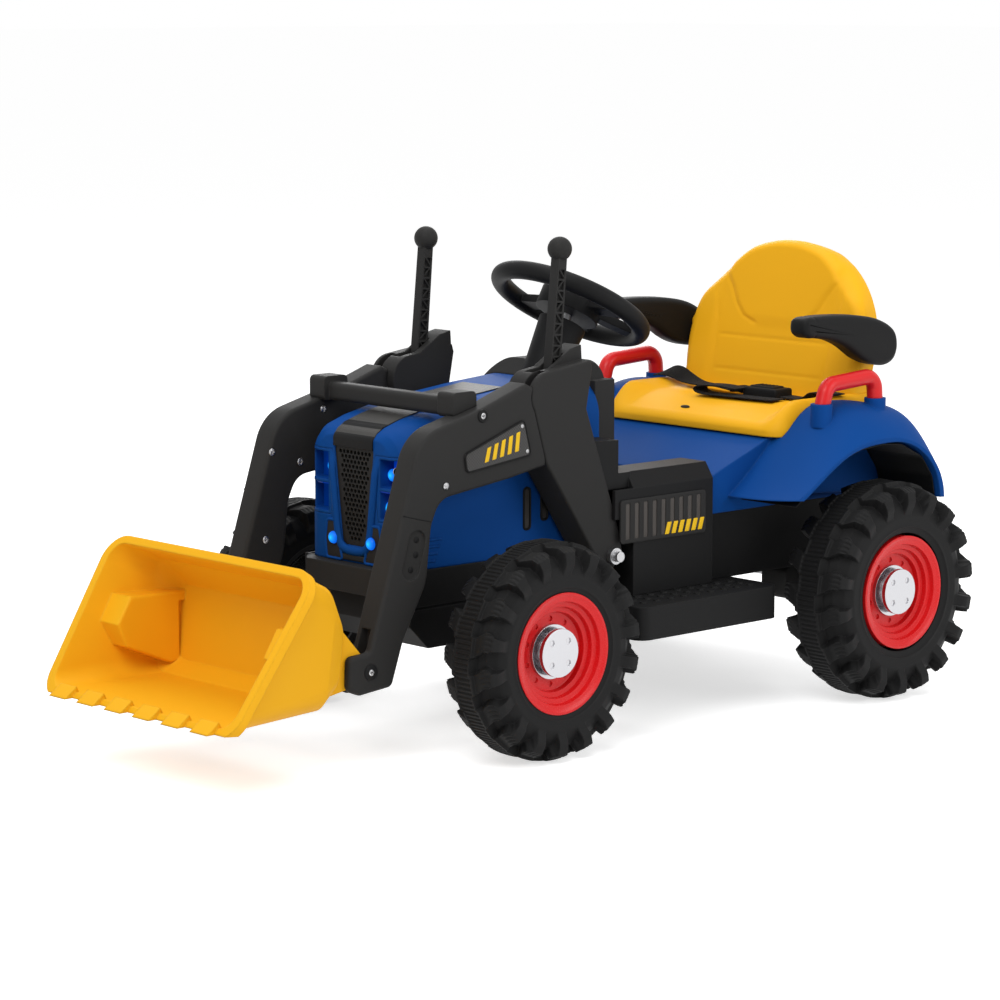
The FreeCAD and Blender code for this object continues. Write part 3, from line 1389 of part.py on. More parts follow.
def rear_body():
    """Blue rear body: a hollow seat box with a flared fender over each rear wheel."""
    outline = [(body_front_y + body_length * u, body_low_z + body_deck_rise * v) for u,
               v in body_outline_shares]
    half = body_half_width
    box = prism_x(outline, -half, half)
    fender = Part.makeLoft([fender_wire(half, fender_inner_shares), fender_wire(fender_shoulder_x,
                                                                                fender_shoulder_shares),
                            fender_wire(fender_outer_x, fender_lip_shares)], True, False)
    arch_in = half + fender_inner_wall
    arch_run = FreeCAD.Vector(fender_outer_x + overrun - arch_in, 0, 0)
    arch = Part.Face(fender_wire(arch_in, fender_arch_shares)).extrude(arch_run)
    arch_front, arch_foot = fender_point(fender_arch_shares[0])
    below = block(0, fender_outer_x + overrun, rear_axle_y - fender_span * 2, rear_axle_y + fender_span * 2,
                  body_low_z - fender_rise, body_low_z)
    ahead = block(arch_in, fender_outer_x + overrun, arch_front, rear_axle_y, body_low_z - fender_rise,
                  arch_foot)
    sockets = []
    for y in (rear_axle_y - handle_front_run, rear_axle_y + handle_rear_run):
        base = FreeCAD.Vector(handle_x, y, handle_base_z() - socket_height * 4)
        sockets.append(rod(base, base + FreeCAD.Vector(0, 0, socket_height * 4), socket_radius))
    fender = fender.fuse(sockets).cut([arch, below, ahead])
    inner = prism_x([(y + (body_wall if u < 1 / 2 else -body_wall), z - body_wall - (overrun
                                                                                     if v == 0 else 0))
                     for (y, z), (u, v) in zip(outline, body_outline_shares)], -half + body_wall,
                     half - body_wall)
    solid = box.fuse([fender, mirrored(fender)]).cut(inner)
    over_seat = block(-seat_half_width, seat_half_width, seat_front_y, seat_end_y, deck_z,
                      deck_z + fender_rise)
    return solid.cut([over_seat] + seat_solids).removeSplitter()


def handle_base_z():
    return body_low_z + fender_rise + socket_height / 2


def tube(points, radius, bend):
    """Round tube along straight runs joined by arcs."""
    stops = [(points[0], None, points[0])]
    for before, corner, after in zip(points, points[1:], points[2:]):
        stops.append(corner_points(before, corner, after, bend))
    stops.append((points[-1], None, points[-1]))
    edges = []
    for (start, middle, end), (following, _, _) in zip(stops, stops[1:]):
        if middle is not None:
            edges.append(Part.Arc(start, middle, end).toShape())
        edges.append(Part.makeLine(end, following))
    path = Part.Wire(edges)
    circle = Part.Wire(Part.makeCircle(radius, points[0], points[1] - points[0]))
    return path.makePipeShell([circle], True, False)


def grab_handle():
    """Left grab handle: a bent tube standing in two sockets on the fender."""
    base = handle_base_z()
    low = base - socket_height
    high = base + handle_rise
    y0 = rear_axle_y - handle_front_run
    y1 = rear_axle_y + handle_rear_run
    points = [FreeCAD.Vector(handle_x, y0, low), FreeCAD.Vector(handle_x, y0 + handle_front_lean, high),
              FreeCAD.Vector(handle_x, y1 - handle_rear_lean, high + handle_climb),
              FreeCAD.Vector(handle_x, y1, low)]
    below = block(handle_x - overrun, handle_x + overrun, y0 - overrun, y1 + overrun, body_low_z, base)
    return tube(points, handle_tube_radius, handle_bend).cut(below)


def seat_base():
    """Yellow seat pan with raised side bolsters and a front lip."""
    low = deck_z - seat_lip_drop
    top = deck_z + seat_base_height
    half = seat_half_width
    pan = prism_z([(-half, seat_front_y), (half, seat_front_y), (half, seat_end_y), (-half, seat_end_y)],
                  low, top,
                  seat_round)
    front = prism_x([(seat_front_y - overrun, top + overrun), (seat_front_y - overrun, low + seat_lip_drop),
                     (seat_front_y, low + seat_lip_drop), (seat_front_y + seat_lip_run / 3,
                                                           top - seat_lip_drop / 2),
                     (seat_front_y + seat_lip_run, top), (seat_front_y + seat_lip_run, top + overrun)],
                    -half - overrun, half + overrun)
    pan = pan.cut(front)
    start = seat_front_y + seat_round
    bolster = prism_x([(start, top), (start + seat_lip_run, top + seat_bolster_height),
                       (seat_end_y - seat_round, top + seat_bolster_height), (seat_end_y - seat_round, top)],
                      half - seat_bolster_width, half, seat_bolster_height)
    dish = prism_x([(seat_front_y + seat_lip_run * 2, top + overrun), (seat_end_y, top + overrun),
                    (seat_end_y, top - seat_bolster_height / 2), (seat_front_y + seat_lip_run * 2, top)],
                   -half + seat_bolster_width, half - seat_bolster_width)
    return pan.fuse([bolster, mirrored(bolster)]).cut(dish).removeSplitter()


def back_wire(y, scale):
    """Smooth closed outline of the seat back at one depth, scaled about its middle."""
    right = [(back_half_width * u, back_height * v) for u, v in back_outline_shares]
    outline = [(-x, z) for x, z in right] + [(0, back_height)] + [(x, z) for x, z in reversed(right)]
    middle = back_height / 2
    curve = Part.BSplineCurve()
    curve.interpolate([FreeCAD.Vector(x * scale, y, middle + (z - middle) * scale) for x, z in outline],
                      PeriodicFlag=True)
    return Part.Wire(curve.toShape())


def seat_back(pan):
    """Yellow seat back: a leaning cushion with side bosses for the armrests."""
    wires = [back_wire(back_thickness * depth, scale) for depth, scale in zip(back_depth_shares,
                                                                              back_scale_shares)]
    solid = Part.makeLoft(wires, True, False)
    solid.rotate(ORIGIN, X_AXIS, -back_lean_deg)
    solid = solid.translated(FreeCAD.Vector(0, seat_back_y, deck_z + seat_base_height))
    y, z = arm_pivot()
    x = back_half_width
    boss = rod_x(x / 2, x + arm_boss_length, y, z, arm_boss_radius)
    pin = rod_x(x, x + arm_boss_length + seat_gap + arm_width - arm_round, y, z, arm_pin_radius)
    pieces = []
    for piece in (boss, pin):
        pieces += [piece, mirrored(piece)]
    low = block(-seat_half_width, seat_half_width, seat_front_y, seat_end_y + back_root, 0, deck_z)
    return solid.fuse(pieces).cut([pan, low]).removeSplitter()


def arm_pivot():
    return (seat_back_y + arm_pivot_back, deck_z + seat_base_height + arm_pivot_up)


def armrest():
    """Left armrest, flipping up about its pin."""
    y, z = arm_pivot()
    x0 = back_half_width + arm_boss_length + seat_gap
    outline = [(y - arm_front_run * u, z + arm_rise * v) for u, v in arm_outline_shares]
    solid = rounded_rims(prism_x(outline, x0, x0 + arm_width, arm_round * 2), arm_edge, x0, x0 + arm_width)
    hole = rod_x(x0 - overrun, x0 + arm_width - arm_round + seat_gap, y, z, arm_pin_radius + running_gap)
    return solid.cut(hole)


def belt_webbing():
    """Lap belt straps: from each side of the seat, over its bolster, down to the buckle."""
    top = deck_z + seat_base_height + seat_gap
    y0 = seat_back_y - belt_set_back
    y1 = y0 + belt_width
    half = seat_half_width
    high = top + seat_bolster_height
    t = belt_thickness
    edge = half - seat_bolster_width - seat_gap
    straps = []
    for side, end in ((1, buckle_x + buckle_width / 2), (-1, -buckle_x + buckle_width / 2)):
        line = [(end, top), (edge, top), (edge, high), (half, high), (half, high + t), (edge - t, high + t),
                (edge - t, top + t), (end, top + t)]
        straps.append(prism_y([(side * x, z) for x, z in line], y0, y1))
    return Part.makeCompound(straps)


def belt_buckle():
    """Buckle body lying on the seat between the straps."""
    top = deck_z + seat_base_height + seat_gap
    y = seat_back_y - belt_set_back + belt_width / 2
    half_x = buckle_width / 2
    half_y = buckle_length / 2
    return prism_z([(buckle_x - half_x, y - half_y), (buckle_x + half_x, y - half_y),
                    (buckle_x + half_x, y + half_y), (buckle_x - half_x, y + half_y)],
                   top, top + buckle_height, buckle_round)


def battery():
    y = front_axle_y + battery_start
    z = tub_floor_z + tub_wall
    half = battery_width / 2
    return block(-half, half, y, y + battery_length, z, shaft_end_z - battery_shaft_gap)


def drive_gearboxes():
    """Motor gearboxes under the rear of the tub, one on each end of the axle."""
    half_y = gearbox_length / 2
    z0 = rear_tub_floor_z - gearbox_height
    box = prism_x([(rear_axle_y - half_y, z0), (rear_axle_y + half_y, z0),
                   (rear_axle_y + half_y, z0 + gearbox_height),
                   (rear_axle_y - half_y, z0 + gearbox_height)], gearbox_x - gearbox_width / 2,
                  gearbox_x + gearbox_width / 2, gearbox_round)
    box = box.cut(rod_x(0, rear_track, rear_axle_y, rear_axle_z, axle_radius + running_gap))
    return Part.makeCompound([box, mirrored(box)])


wheels()
save("rear_axle", rear_axle())
save("front_axle_beam", front_axle_beam())
save_pair("knuckle", knuckle())
save("tie_rod", tie_rod())
save("chassis_tub", chassis_tub())
save("nose_skirt", nose_skirt())
save("hood", hood())
save("hood_stripe", hood_stripe())
save("grille", grille())
save_pair("headlight", headlight())
save("lamp_lenses", lamp_lenses())
save("hood_vents", hood_vents())
dash_solid = dash_cowl()
save("dash_cowl", dash_solid)
save("column_cover", column_cover())
save("steering_shaft", steering_shaft())
save("steering_wheel", steering_wheel())
save("horn_button", horn_button())
save("power_button", power_rod(power_depth, power_radius - running_gap))
save("direction_rocker", direction_rocker())
save("accelerator_pedal", accelerator_pedal())
save_pair("tower", tower())
save("loader_pins", loader_pins())
left_boom = boom()
save_pair("boom", left_boom)
save("boom_plates", boom_plates())
save("cross_bar", cross_bar(left_boom))
save_pair("lever", lever())
save("bucket", bucket())
save_pair("side_box", side_box())
save("side_panels", side_panels())
left_step = step()
save("step_left", left_step)
save("step_right", right_step(left_step))
seat_pan = seat_base()
seat_solids = [seat_pan, seat_back(seat_pan)]
save("rear_body", rear_body())
save_pair("grab_handle", grab_handle())
save("seat_base", seat_solids[0])
save("seat_back", seat_solids[1])
save_pair("armrest", armrest())
save("belt_webbing", belt_webbing())
save("belt_buckle", belt_buckle())
save("battery", battery())
save("drive_gearboxes", drive_gearboxes())
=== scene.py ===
"""Dressed scene of a child's ride-on loader tractor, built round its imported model.

Lengths are metres. +X is the driver's left, -Y is the driving direction, +Z is up.
"""
import logging
import math
from dataclasses import dataclass
from enum import Enum
from functools import cache
from typing import Callable, Sequence

import bmesh
import bpy
import numpy as np
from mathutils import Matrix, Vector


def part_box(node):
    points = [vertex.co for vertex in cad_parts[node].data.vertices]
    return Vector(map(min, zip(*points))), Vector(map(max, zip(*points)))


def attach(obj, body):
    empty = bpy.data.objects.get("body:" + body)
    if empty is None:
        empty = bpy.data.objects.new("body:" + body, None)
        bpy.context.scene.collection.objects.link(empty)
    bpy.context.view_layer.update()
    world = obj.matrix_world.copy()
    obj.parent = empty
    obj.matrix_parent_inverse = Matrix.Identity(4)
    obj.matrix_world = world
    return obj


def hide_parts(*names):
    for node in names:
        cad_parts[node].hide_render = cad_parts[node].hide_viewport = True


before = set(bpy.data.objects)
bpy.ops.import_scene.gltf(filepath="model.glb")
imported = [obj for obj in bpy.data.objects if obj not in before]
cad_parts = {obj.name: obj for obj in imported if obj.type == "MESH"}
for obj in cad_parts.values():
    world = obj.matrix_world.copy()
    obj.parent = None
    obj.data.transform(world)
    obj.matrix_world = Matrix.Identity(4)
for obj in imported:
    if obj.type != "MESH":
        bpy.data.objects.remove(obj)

Array = np.ndarray
Point = tuple[float, float, float]
Pair = tuple[float, float]
Colour = tuple[float, float, float]
LOG = logging.getLogger("tractor")
TAU = 2 * math.pi
QUARTER = math.pi / 2
OUT_X, FORWARD, UP = (1.0, 0.0, 0.0), (0.0, -1.0, 0.0), (0.0, 0.0, 1.0)
PRINT_HEIGHT, PRINT_EDGE, PRINT_CORNER = 0.0007, 0.0003, 0.0008


class Side(Enum):
    """The two sides of the tractor, with the sign of their X."""

    LEFT = 1
    RIGHT = -1

    @property
    def word(self) -> str:
        """Name of the side as nodes and bodies spell it."""
        return self.name.lower()


@dataclass(frozen=True)
class Patch:
    """A piece of surface: points as rows of xyz, and faces as rows of four point numbers."""

    points: Array
    faces: Array

    def mirrored(self) -> "Patch":
        """The same patch on the other side: x changes sign and the faces turn round."""
        return Patch(self.points * np.array((-1.0, 1.0, 1.0)), self.faces[:, ::-1])

    def moved(self, offset: Sequence[float]) -> "Patch":
        """The same patch, shifted."""
        return Patch(self.points + np.asarray(offset, float), self.faces)


def join(patches: Sequence[Patch]) -> Patch:
    """Put patches together, with the point numbers of each one counted on from the last."""
    starts = np.cumsum([0] + [len(p.points) for p in patches[:-1]])
    faces = [p.faces + start for p, start in zip(patches, starts)]
    return Patch(np.concatenate([p.points for p in patches]), np.concatenate(faces))


def grid(points: Array, wrap_rows: bool = False, wrap_columns: bool = False) -> Patch:
    """Quads over a grid of points.

    Corner (i, j) joins (i + 1, j), (i + 1, j + 1) and (i, j + 1). A wrapped direction joins its last line
    to its first.

    Args:
        points: rows by columns by xyz.
        wrap_rows: close the grid from the last row to the first.
        wrap_columns: close the grid from the last column to the first.

    Returns:
        The patch.
    """
    rows, columns = points.shape[:2]
    i, j = np.meshgrid(np.arange(rows if wrap_rows else rows - 1),
                       np.arange(columns if wrap_columns else columns - 1), indexing="ij")
    k, m = (i + 1) % rows, (j + 1) % columns
    faces = np.stack((i * columns + j, k * columns + j, k * columns + m, i * columns + m), axis=-1)
    return Patch(points.reshape(-1, 3), faces.reshape(-1, 4))


def capped(rings: Array) -> Patch:
    """Closed form through rings of points, each end drawn in to the middle of its last ring."""
    first = np.repeat(rings[:1].mean(axis=1, keepdims=True), rings.shape[1], axis=1)
    last = np.repeat(rings[-1:].mean(axis=1, keepdims=True), rings.shape[1], axis=1)
    return grid(np.concatenate((first, rings, last)), wrap_columns=True)


def carry(path: Array, across: Array, up: Array, profile: Array, closed: bool = False) -> Patch:
    """A closed profile carried along a path: point (i, k) is path i, plus across i times profile k's first
    number, plus up i times its second.

    Args:
        path: points along the way.
        across: direction of the profile's first number, one for all points or one each.
        up: direction of the profile's second number.
        profile: closed outline as rows of two numbers.
        closed: the path comes back to its start.

    Returns:
        The patch, with closed ends where the path is open.
    """
    across = np.broadcast_to(np.asarray(across, float), path.shape)
    up = np.broadcast_to(np.asarray(up, float), path.shape)
    rings = (path[:, None] + across[:, None] * profile[None, :, :1] + up[:, None] * profile[None, :, 1:])
    return grid(rings, True, True) if closed else capped(rings)


def heading(path: Array, closed: bool = False) -> Array:
    """Unit direction of a path at each of its points, from the points beside it."""
    along = np.roll(path, -1, 0) - np.roll(path, 1, 0) if closed else np.gradient(path, axis=0)
    return along / np.linalg.norm(along, axis=1, keepdims=True)


def at_x(flat: Array, x: float) -> Array:
    """Points (y, z) on the plane at x."""
    return np.column_stack((np.full(len(flat), x), flat))


def on_plane(x: float) -> Callable[[Array], Array]:
    """Placer of (y, z) points on the plane at x."""
    return lambda flat: at_x(flat, x)


def rim(path: Array, normal: Sequence[float], width: float, height: float) -> Patch:
    """Half-round rim along a closed flat path: the profile stands on the plane that the normal leaves."""
    return carry(path, np.cross(heading(path, True), normal), normal, half_round(width, height), True)


def both(parts: Sequence[Patch]) -> Patch:
    """The parts and their mirror images, as one patch."""
    return join([*parts, *(part.mirrored() for part in parts)])


def box_outline(low: Pair, high: Pair, radius: float, steps: int) -> Array:
    """Rounded rectangle between two corners."""
    (x0, y0), (x1, y1) = low, high
    return rounded(((x0, y0), (x1, y0), (x1, y1), (x0, y1)), radius, steps)


def basis(axis: Sequence[float]) -> tuple[Array, Array, Array]:
    """Three unit directions at right angles, the last one along the axis."""
    w = np.asarray(axis, float) / np.linalg.norm(axis)
    helper = np.array(UP) if abs(w[2]) < 0.9 else np.array(OUT_X)
    u = np.cross(helper, w)
    u /= np.linalg.norm(u)
    return u, np.cross(w, u), w


def spun(profile: Array, centre: Sequence[float], axis: Sequence[float], count: int) -> Patch:
    """Surface of revolution: a profile of (radius, height) turned about the axis in equal steps."""
    u, v, w = basis(axis)
    angle = np.arange(count) * TAU / count
    spoke = np.cos(angle)[:, None] * u + np.sin(angle)[:, None] * v
    rings = np.asarray(centre, float) + profile[:, None, :1] * spoke[None] + profile[:, None, 1:] * w
    return capped(rings)


def rounded(corners: Sequence[Sequence[float]], radius: float, steps: int = 6) -> Array:
    """Closed flat outline with its corners rounded.

    Each corner becomes a quadratic curve from a point on the side before it to one on the side after it:
    (1-t)^2 start + 2t(1-t) corner + t^2 end.

    Args:
        corners: outline corners as pairs.
        radius: how far from the corner the curve starts, at most 0.48 of the side.
        steps: points on each curve.

    Returns:
        Outline points as rows of two numbers.
    """
    c = np.asarray(corners, float)
    before, after = np.roll(c, 1, axis=0) - c, np.roll(c, -1, axis=0) - c
    reach_b, reach_a = np.linalg.norm(before, axis=1), np.linalg.norm(after, axis=1)
    start = c + before * (np.minimum(radius / reach_b, 0.48))[:, None]
    end = c + after * (np.minimum(radius / reach_a, 0.48))[:, None]
    t = np.linspace(0, 1, steps)[None, :, None]
    curve = (1 - t) ** 2 * start[:, None] + 2 * t * (1 - t) * c[:, None] + t ** 2 * end[:, None]
    return curve.reshape(-1, 2)


def spans(a: Array, b: Array, c: Array, d: Array, count: int) -> Array:
    """Catmull-Rom spans from b to c: the cubic that leaves and enters along half the chord between neighbours."""
    t = np.linspace(0, 1, count, endpoint=False)[None, :, None]
    curve = 0.5 * (2 * b[:, None] + (c - a)[:, None] * t + (2 * a - 5 * b + 4 * c - d)[:, None] * t ** 2
                   + (3 * b - a - 3 * c + d)[:, None] * t ** 3)
    return curve.reshape(-1, b.shape[1])


def smooth_loop(knots: Sequence[Sequence[float]], count: int) -> Array:
    """Closed Catmull-Rom curve through knots, with count points on each span."""
    p = np.asarray(knots, float)
    return spans(np.roll(p, 1, 0), p, np.roll(p, -1, 0), np.roll(p, -2, 0), count)


def resampled(line: Array, count: int, closed: bool = False) -> Array:
    """The same line with points at equal steps along it."""
    whole = np.concatenate((line, line[:1])) if closed else line
    run = np.concatenate(([0.0], np.cumsum(np.linalg.norm(np.diff(whole, axis=0), axis=1))))
    stops = np.linspace(0, run[-1], count, endpoint=not closed)
    return np.stack([np.interp(stops, run, whole[:, k]) for k in range(whole.shape[1])], axis=1)


def step_up(x: Array, low: float, high: float) -> Array:
    """Smooth step from 0 at low to 1 at high: 3t^2 - 2t^3."""
    t = np.clip((x - low) / (high - low), 0.0, 1.0)
    return t * t * (3 - 2 * t)


def half_round(width: float, height: float, count: int = 9) -> Array:
    """Closed profile with a flat base and a domed top: half an ellipse."""
    t = np.linspace(0, math.pi, count)
    return np.stack((np.cos(t) * width / 2, np.sin(t) * height), axis=1)


def slab(outline: Array, place: Callable[[Array], Array], normal: Sequence[float], thickness: float,
         edge: float) -> Patch:
    """A flat plate with a rounded upper edge: the outline rises, then draws in over a quarter round.

    Args:
        outline: convex outline as rows of two numbers.
        place: turns outline points into xyz on the carrying face.
        normal: direction away from the face.
        thickness: height of the plate.
        edge: size of the rounding.

    Returns:
        The closed plate.
    """
    middle = outline.mean(axis=0)
    reach = np.linalg.norm(outline - middle, axis=1).mean()
    turn = np.linspace(0, QUARTER, 4)
    shrink = np.concatenate(([1.0], 1 - edge / reach * (1 - np.cos(turn)), [0.55]))
    rise = np.concatenate(([0.0], thickness - edge + edge * np.sin(turn), [thickness]))
    flat = middle + (outline - middle)[None] * shrink[:, None, None]
    rings = place(flat.reshape(-1, 2)).reshape(flat.shape[0], -1, 3)
    return capped(rings + rise[:, None, None] * np.asarray(normal, float))


def printed_bar(corners: Sequence[Pair], x: float) -> Patch:
    """Thin printed bar with the given (y, z) corners on the plane at x."""
    return slab(rounded(corners, PRINT_CORNER, 3), on_plane(x), OUT_X, PRINT_HEIGHT, PRINT_EDGE)


def screw_head(centre: Sequence[float], axis: Sequence[float], radius: float, height: float) -> Patch:
    """Domed screw head with a cross recess: height falls as the square of the radius, less a smooth cross."""
    u, v, w = basis(axis)
    r, a = np.meshgrid(np.linspace(0, 1, 12), np.arange(32) * TAU / 32, indexing="ij")
    x, y = r * np.cos(a), r * np.sin(a)
    arm = np.minimum(np.abs(x), np.abs(y))
    cross = (1 - step_up(arm, 0.09, 0.17)) * (1 - step_up(r, 0.52, 0.62))
    z = height * (1 - 0.75 * r ** 2) - 0.6 * height * cross
    top = np.asarray(centre, float) + radius * (x[..., None] * u + y[..., None] * v) + z[..., None] * w
    rim = np.asarray(centre, float) + radius * (x[-1:, :, None] * u + y[-1:, :, None] * v)
    return capped(np.concatenate((top[1:], rim))[::-1])


class Workshop:
    """Turns patches into pieces that ride on bodies."""

    @staticmethod
    def piece(name: str, patch: Patch, finish: "Finish | bpy.types.Material", body: str, slot: str,
              stands_for: Sequence[str] = (), sharp: float = 40.0) -> bpy.types.Object:
        """Make a piece from a closed patch.

        Args:
            name: the piece's name.
            patch: its surface, in the object's frame.
            finish: its finish, or a material made for it.
            body: the body that it rides on.
            slot: a material slot name; not used.
            stands_for: nodes that it replaces.
            sharp: edges that turn by more degrees than this stay sharp.

        Returns:
            The new object.
        """
        mesh = bpy.data.meshes.new(name)
        mesh.vertices.add(len(patch.points))
        mesh.vertices.foreach_set("co", patch.points.astype(np.float32).ravel())
        mesh.loops.add(patch.faces.size)
        mesh.loops.foreach_set("vertex_index", patch.faces.astype(np.int32).ravel())
        mesh.polygons.add(len(patch.faces))
        mesh.polygons.foreach_set("loop_start", np.arange(len(patch.faces), dtype=np.int32) * 4)
        mesh.update(calc_edges=True)
        shell = bmesh.new()
        shell.from_mesh(mesh)
        bmesh.ops.remove_doubles(shell, verts=shell.verts, dist=1e-6)
        bmesh.ops.dissolve_degenerate(shell, edges=shell.edges, dist=1e-7)
        bmesh.ops.recalc_face_normals(shell, faces=shell.faces)
        shell.to_mesh(mesh)
        shell.free()
        mesh.polygons.foreach_set("use_smooth", np.ones(len(mesh.polygons), dtype=bool))
        mesh.set_sharp_from_angle(angle=math.radians(sharp))
        mesh.materials.append(finish.material if isinstance(finish, Finish) else finish)
        made = bpy.data.objects.new(name, mesh)
        bpy.context.scene.collection.objects.link(made)
        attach(made, body)
        if stands_for:
            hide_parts(*stands_for)
        LOG.info("piece %s on %s: %d faces", name, body, len(mesh.polygons))
        return made

    @staticmethod
    def uv(made: bpy.types.Object, axes: tuple[int, int]) -> None:
        """Flat map of a piece from two of its axes, in metres."""
        mesh = made.data
        layer = mesh.uv_layers.new(name="flat")
        co = np.zeros(len(mesh.vertices) * 3, np.float32)
        mesh.vertices.foreach_get("co", co)
        corner = np.zeros(len(mesh.loops), np.int32)
        mesh.loops.foreach_get("vertex_index", corner)
        layer.data.foreach_set("uv", co.reshape(-1, 3)[corner][:, axes].ravel())


def add_node(tree: bpy.types.NodeTree, kind: str, inputs: dict[str | int, object] | None = None,
             **settings: object) -> bpy.types.Node:
    """Add a node to a tree.

    Args:
        tree: the tree that gets it.
        kind: the node's type.
        inputs: for each input socket, an output to link to it or a constant to set on it.
        settings: the node's own properties.

    Returns:
        The node.
    """
    node = tree.nodes.new(kind)
    for name, value in settings.items():
        setattr(node, name, value)
    for socket, value in (inputs or {}).items():
        if isinstance(value, bpy.types.NodeSocket):
            tree.links.new(value, node.inputs[socket])
        else:
            node.inputs[socket].default_value = value
    return node


def math_node(tree: bpy.types.NodeTree, operation: str, *values: object, clamp: bool = False) -> bpy.types.NodeSocket:
    """Add a math node on numbers and outputs, and return its output."""
    return add_node(tree, "ShaderNodeMath", dict(enumerate(values)), operation=operation, use_clamp=clamp).outputs[0]


class Groups:
    """Shader node groups that several finishes share, each built once."""

    @staticmethod
    def _start(name: str, inputs: Sequence[tuple[str, str, object]],
               outputs: Sequence[tuple[str, str]]) -> tuple[bpy.types.NodeTree, object, object]:
        """New group with named sockets.

        Args:
            name: the group's name.
            inputs: name, socket type and default of each input.
            outputs: name and socket type of each output.

        Returns:
            The tree, its input node and its output node.
        """
        tree = bpy.data.node_groups.new(name, "ShaderNodeTree")
        for label, kind, default in inputs:
            socket = tree.interface.new_socket(name=label, in_out="INPUT", socket_type=kind)
            if default is not None:
                socket.default_value = default
        for label, kind in outputs:
            tree.interface.new_socket(name=label, in_out="OUTPUT", socket_type=kind)
        return tree, tree.nodes.new("NodeGroupInput"), tree.nodes.new("NodeGroupOutput")

    @classmethod
    @cache
    def moulded(cls) -> bpy.types.NodeTree:
        """Moulded plastic skin: soft edges, pebbled grain, faint uneven tone and rubbed edges.

        Normal is the edge-rounded normal bumped by two noises. Tone is slow noise about 1. Wear is 1 where the
        rounded normal leaves the true one, broken up by noise.

        Returns:
            The group.
        """
        tree, start, end = cls._start(
            "MouldedSkin",
            (("Edge Radius", "NodeSocketFloat", 0.0015), ("Grain Scale", "NodeSocketFloat", 900.0),
             ("Grain Depth", "NodeSocketFloat", 0.15), ("Tone Scale", "NodeSocketFloat", 9.0)),
            (("Normal", "NodeSocketVector"), ("Tone", "NodeSocketFloat"), ("Wear", "NodeSocketFloat"),
             ("Grain", "NodeSocketFloat")))
        place = add_node(tree, "ShaderNodeTexCoord").outputs["Object"]
        soft = add_node(tree, "ShaderNodeBevel", {"Radius": start.outputs["Edge Radius"]}, samples=6).outputs["Normal"]
        grain, tone, patchy = (
            add_node(tree, "ShaderNodeTexNoise", {"Vector": place, "Scale": scale, "Detail": detail}).outputs["Fac"]
            for scale, detail in ((start.outputs["Grain Scale"], 2.0), (start.outputs["Tone Scale"], 4.0),
                                  (70.0, 5.0)))
        bump = add_node(tree, "ShaderNodeBump", {"Distance": 0.0004, "Strength": start.outputs["Grain Depth"],
                                                 "Height": grain, "Normal": soft})
        true_normal = add_node(tree, "ShaderNodeNewGeometry").outputs["Normal"]
        turn = add_node(tree, "ShaderNodeVectorMath", {0: soft, 1: true_normal}, operation="DOT_PRODUCT")
        leave = math_node(tree, "SUBTRACT", 1.0, turn.outputs["Value"])
        rubbed = math_node(tree, "MULTIPLY", leave, 5.0, clamp=True)
        for label, output in (("Normal", bump.outputs["Normal"]), ("Grain", grain),
                              ("Tone", math_node(tree, "MULTIPLY_ADD", tone, 0.3, 0.85)),
                              ("Wear", math_node(tree, "MULTIPLY", rubbed, patchy))):
            tree.links.new(output, end.inputs[label])
        return tree

    @classmethod
    @cache
    def lattice(cls) -> bpy.types.NodeTree:
        """Staggered round dots: 1 in a dot and 0 between, from the cell distance of an even Voronoi lattice
        turned by 45 degrees in the plane that faces X or Y.

        Returns:
            The group.
        """
        tree, start, end = cls._start("DotLattice", (("Pitch", "NodeSocketFloat", 300.0),
                                                     ("Turn", "NodeSocketVector", (math.radians(45), 0.0, 0.0))),
                                      (("Dot", "NodeSocketFloat"),))
        place = add_node(tree, "ShaderNodeTexCoord").outputs["Object"]
        turned = add_node(tree, "ShaderNodeMapping", {"Vector": place, "Rotation": start.outputs["Turn"]})
        cells = add_node(tree, "ShaderNodeTexVoronoi", {"Vector": turned.outputs["Vector"], "Randomness": 0.0,
                                                        "Scale": start.outputs["Pitch"]})
        ramp = add_node(tree, "ShaderNodeMapRange", {"Value": cells.outputs["Distance"], "From Min": 0.62,
                                                     "From Max": 0.42})
        tree.links.new(ramp.outputs["Result"], end.inputs["Dot"])
        return tree


class Material:
    """A material with its Principled shader and the shorthands that finishes use."""

    def __init__(self, name: str, roughness: float, metallic: float = 0.0) -> None:
        """New material with a bare Principled shader."""
        self.data = bpy.data.materials.new(name)
        self.data.use_nodes = True
        self.tree = self.data.node_tree
        self.shader = self.tree.nodes["Principled BSDF"]
        self.set("Roughness", roughness)
        self.set("Metallic", metallic)

    def set(self, socket: str, value: object) -> None:
        """Set a constant on the shader's own socket."""
        self.shader.inputs[socket].default_value = value

    def feed(self, output: object, socket: str) -> None:
        """Link an output to a socket of the shader."""
        self.tree.links.new(output, self.shader.inputs[socket])

    def group(self, tree: bpy.types.NodeTree, **values: object) -> object:
        """Place a node group with its own values; spaces in input names are written as underscores."""
        inputs = {label.replace("_", " "): value for label, value in values.items()}
        return self.node("ShaderNodeGroup", inputs, node_tree=tree)

    def node(self, kind: str, inputs: dict[str | int, object] | None = None, **settings: object) -> bpy.types.Node:
        """Add a node to this material's tree."""
        return add_node(self.tree, kind, inputs, **settings)

    def mix(self, factor: object, first: object, second: object) -> object:
        """Colour mix; each colour is an rgb tuple or an output. Returns the mixed colour."""
        first, second = ((*v, 1.0) if isinstance(v, tuple) else v for v in (first, second))
        inputs = {0: factor, 6: first, 7: second}
        return self.node("ShaderNodeMix", inputs, data_type="RGBA").outputs[2]

    def math(self, operation: str, *values: object, clamp: bool = False) -> object:
        """Math node of this material; returns its output."""
        return math_node(self.tree, operation, *values, clamp=clamp)


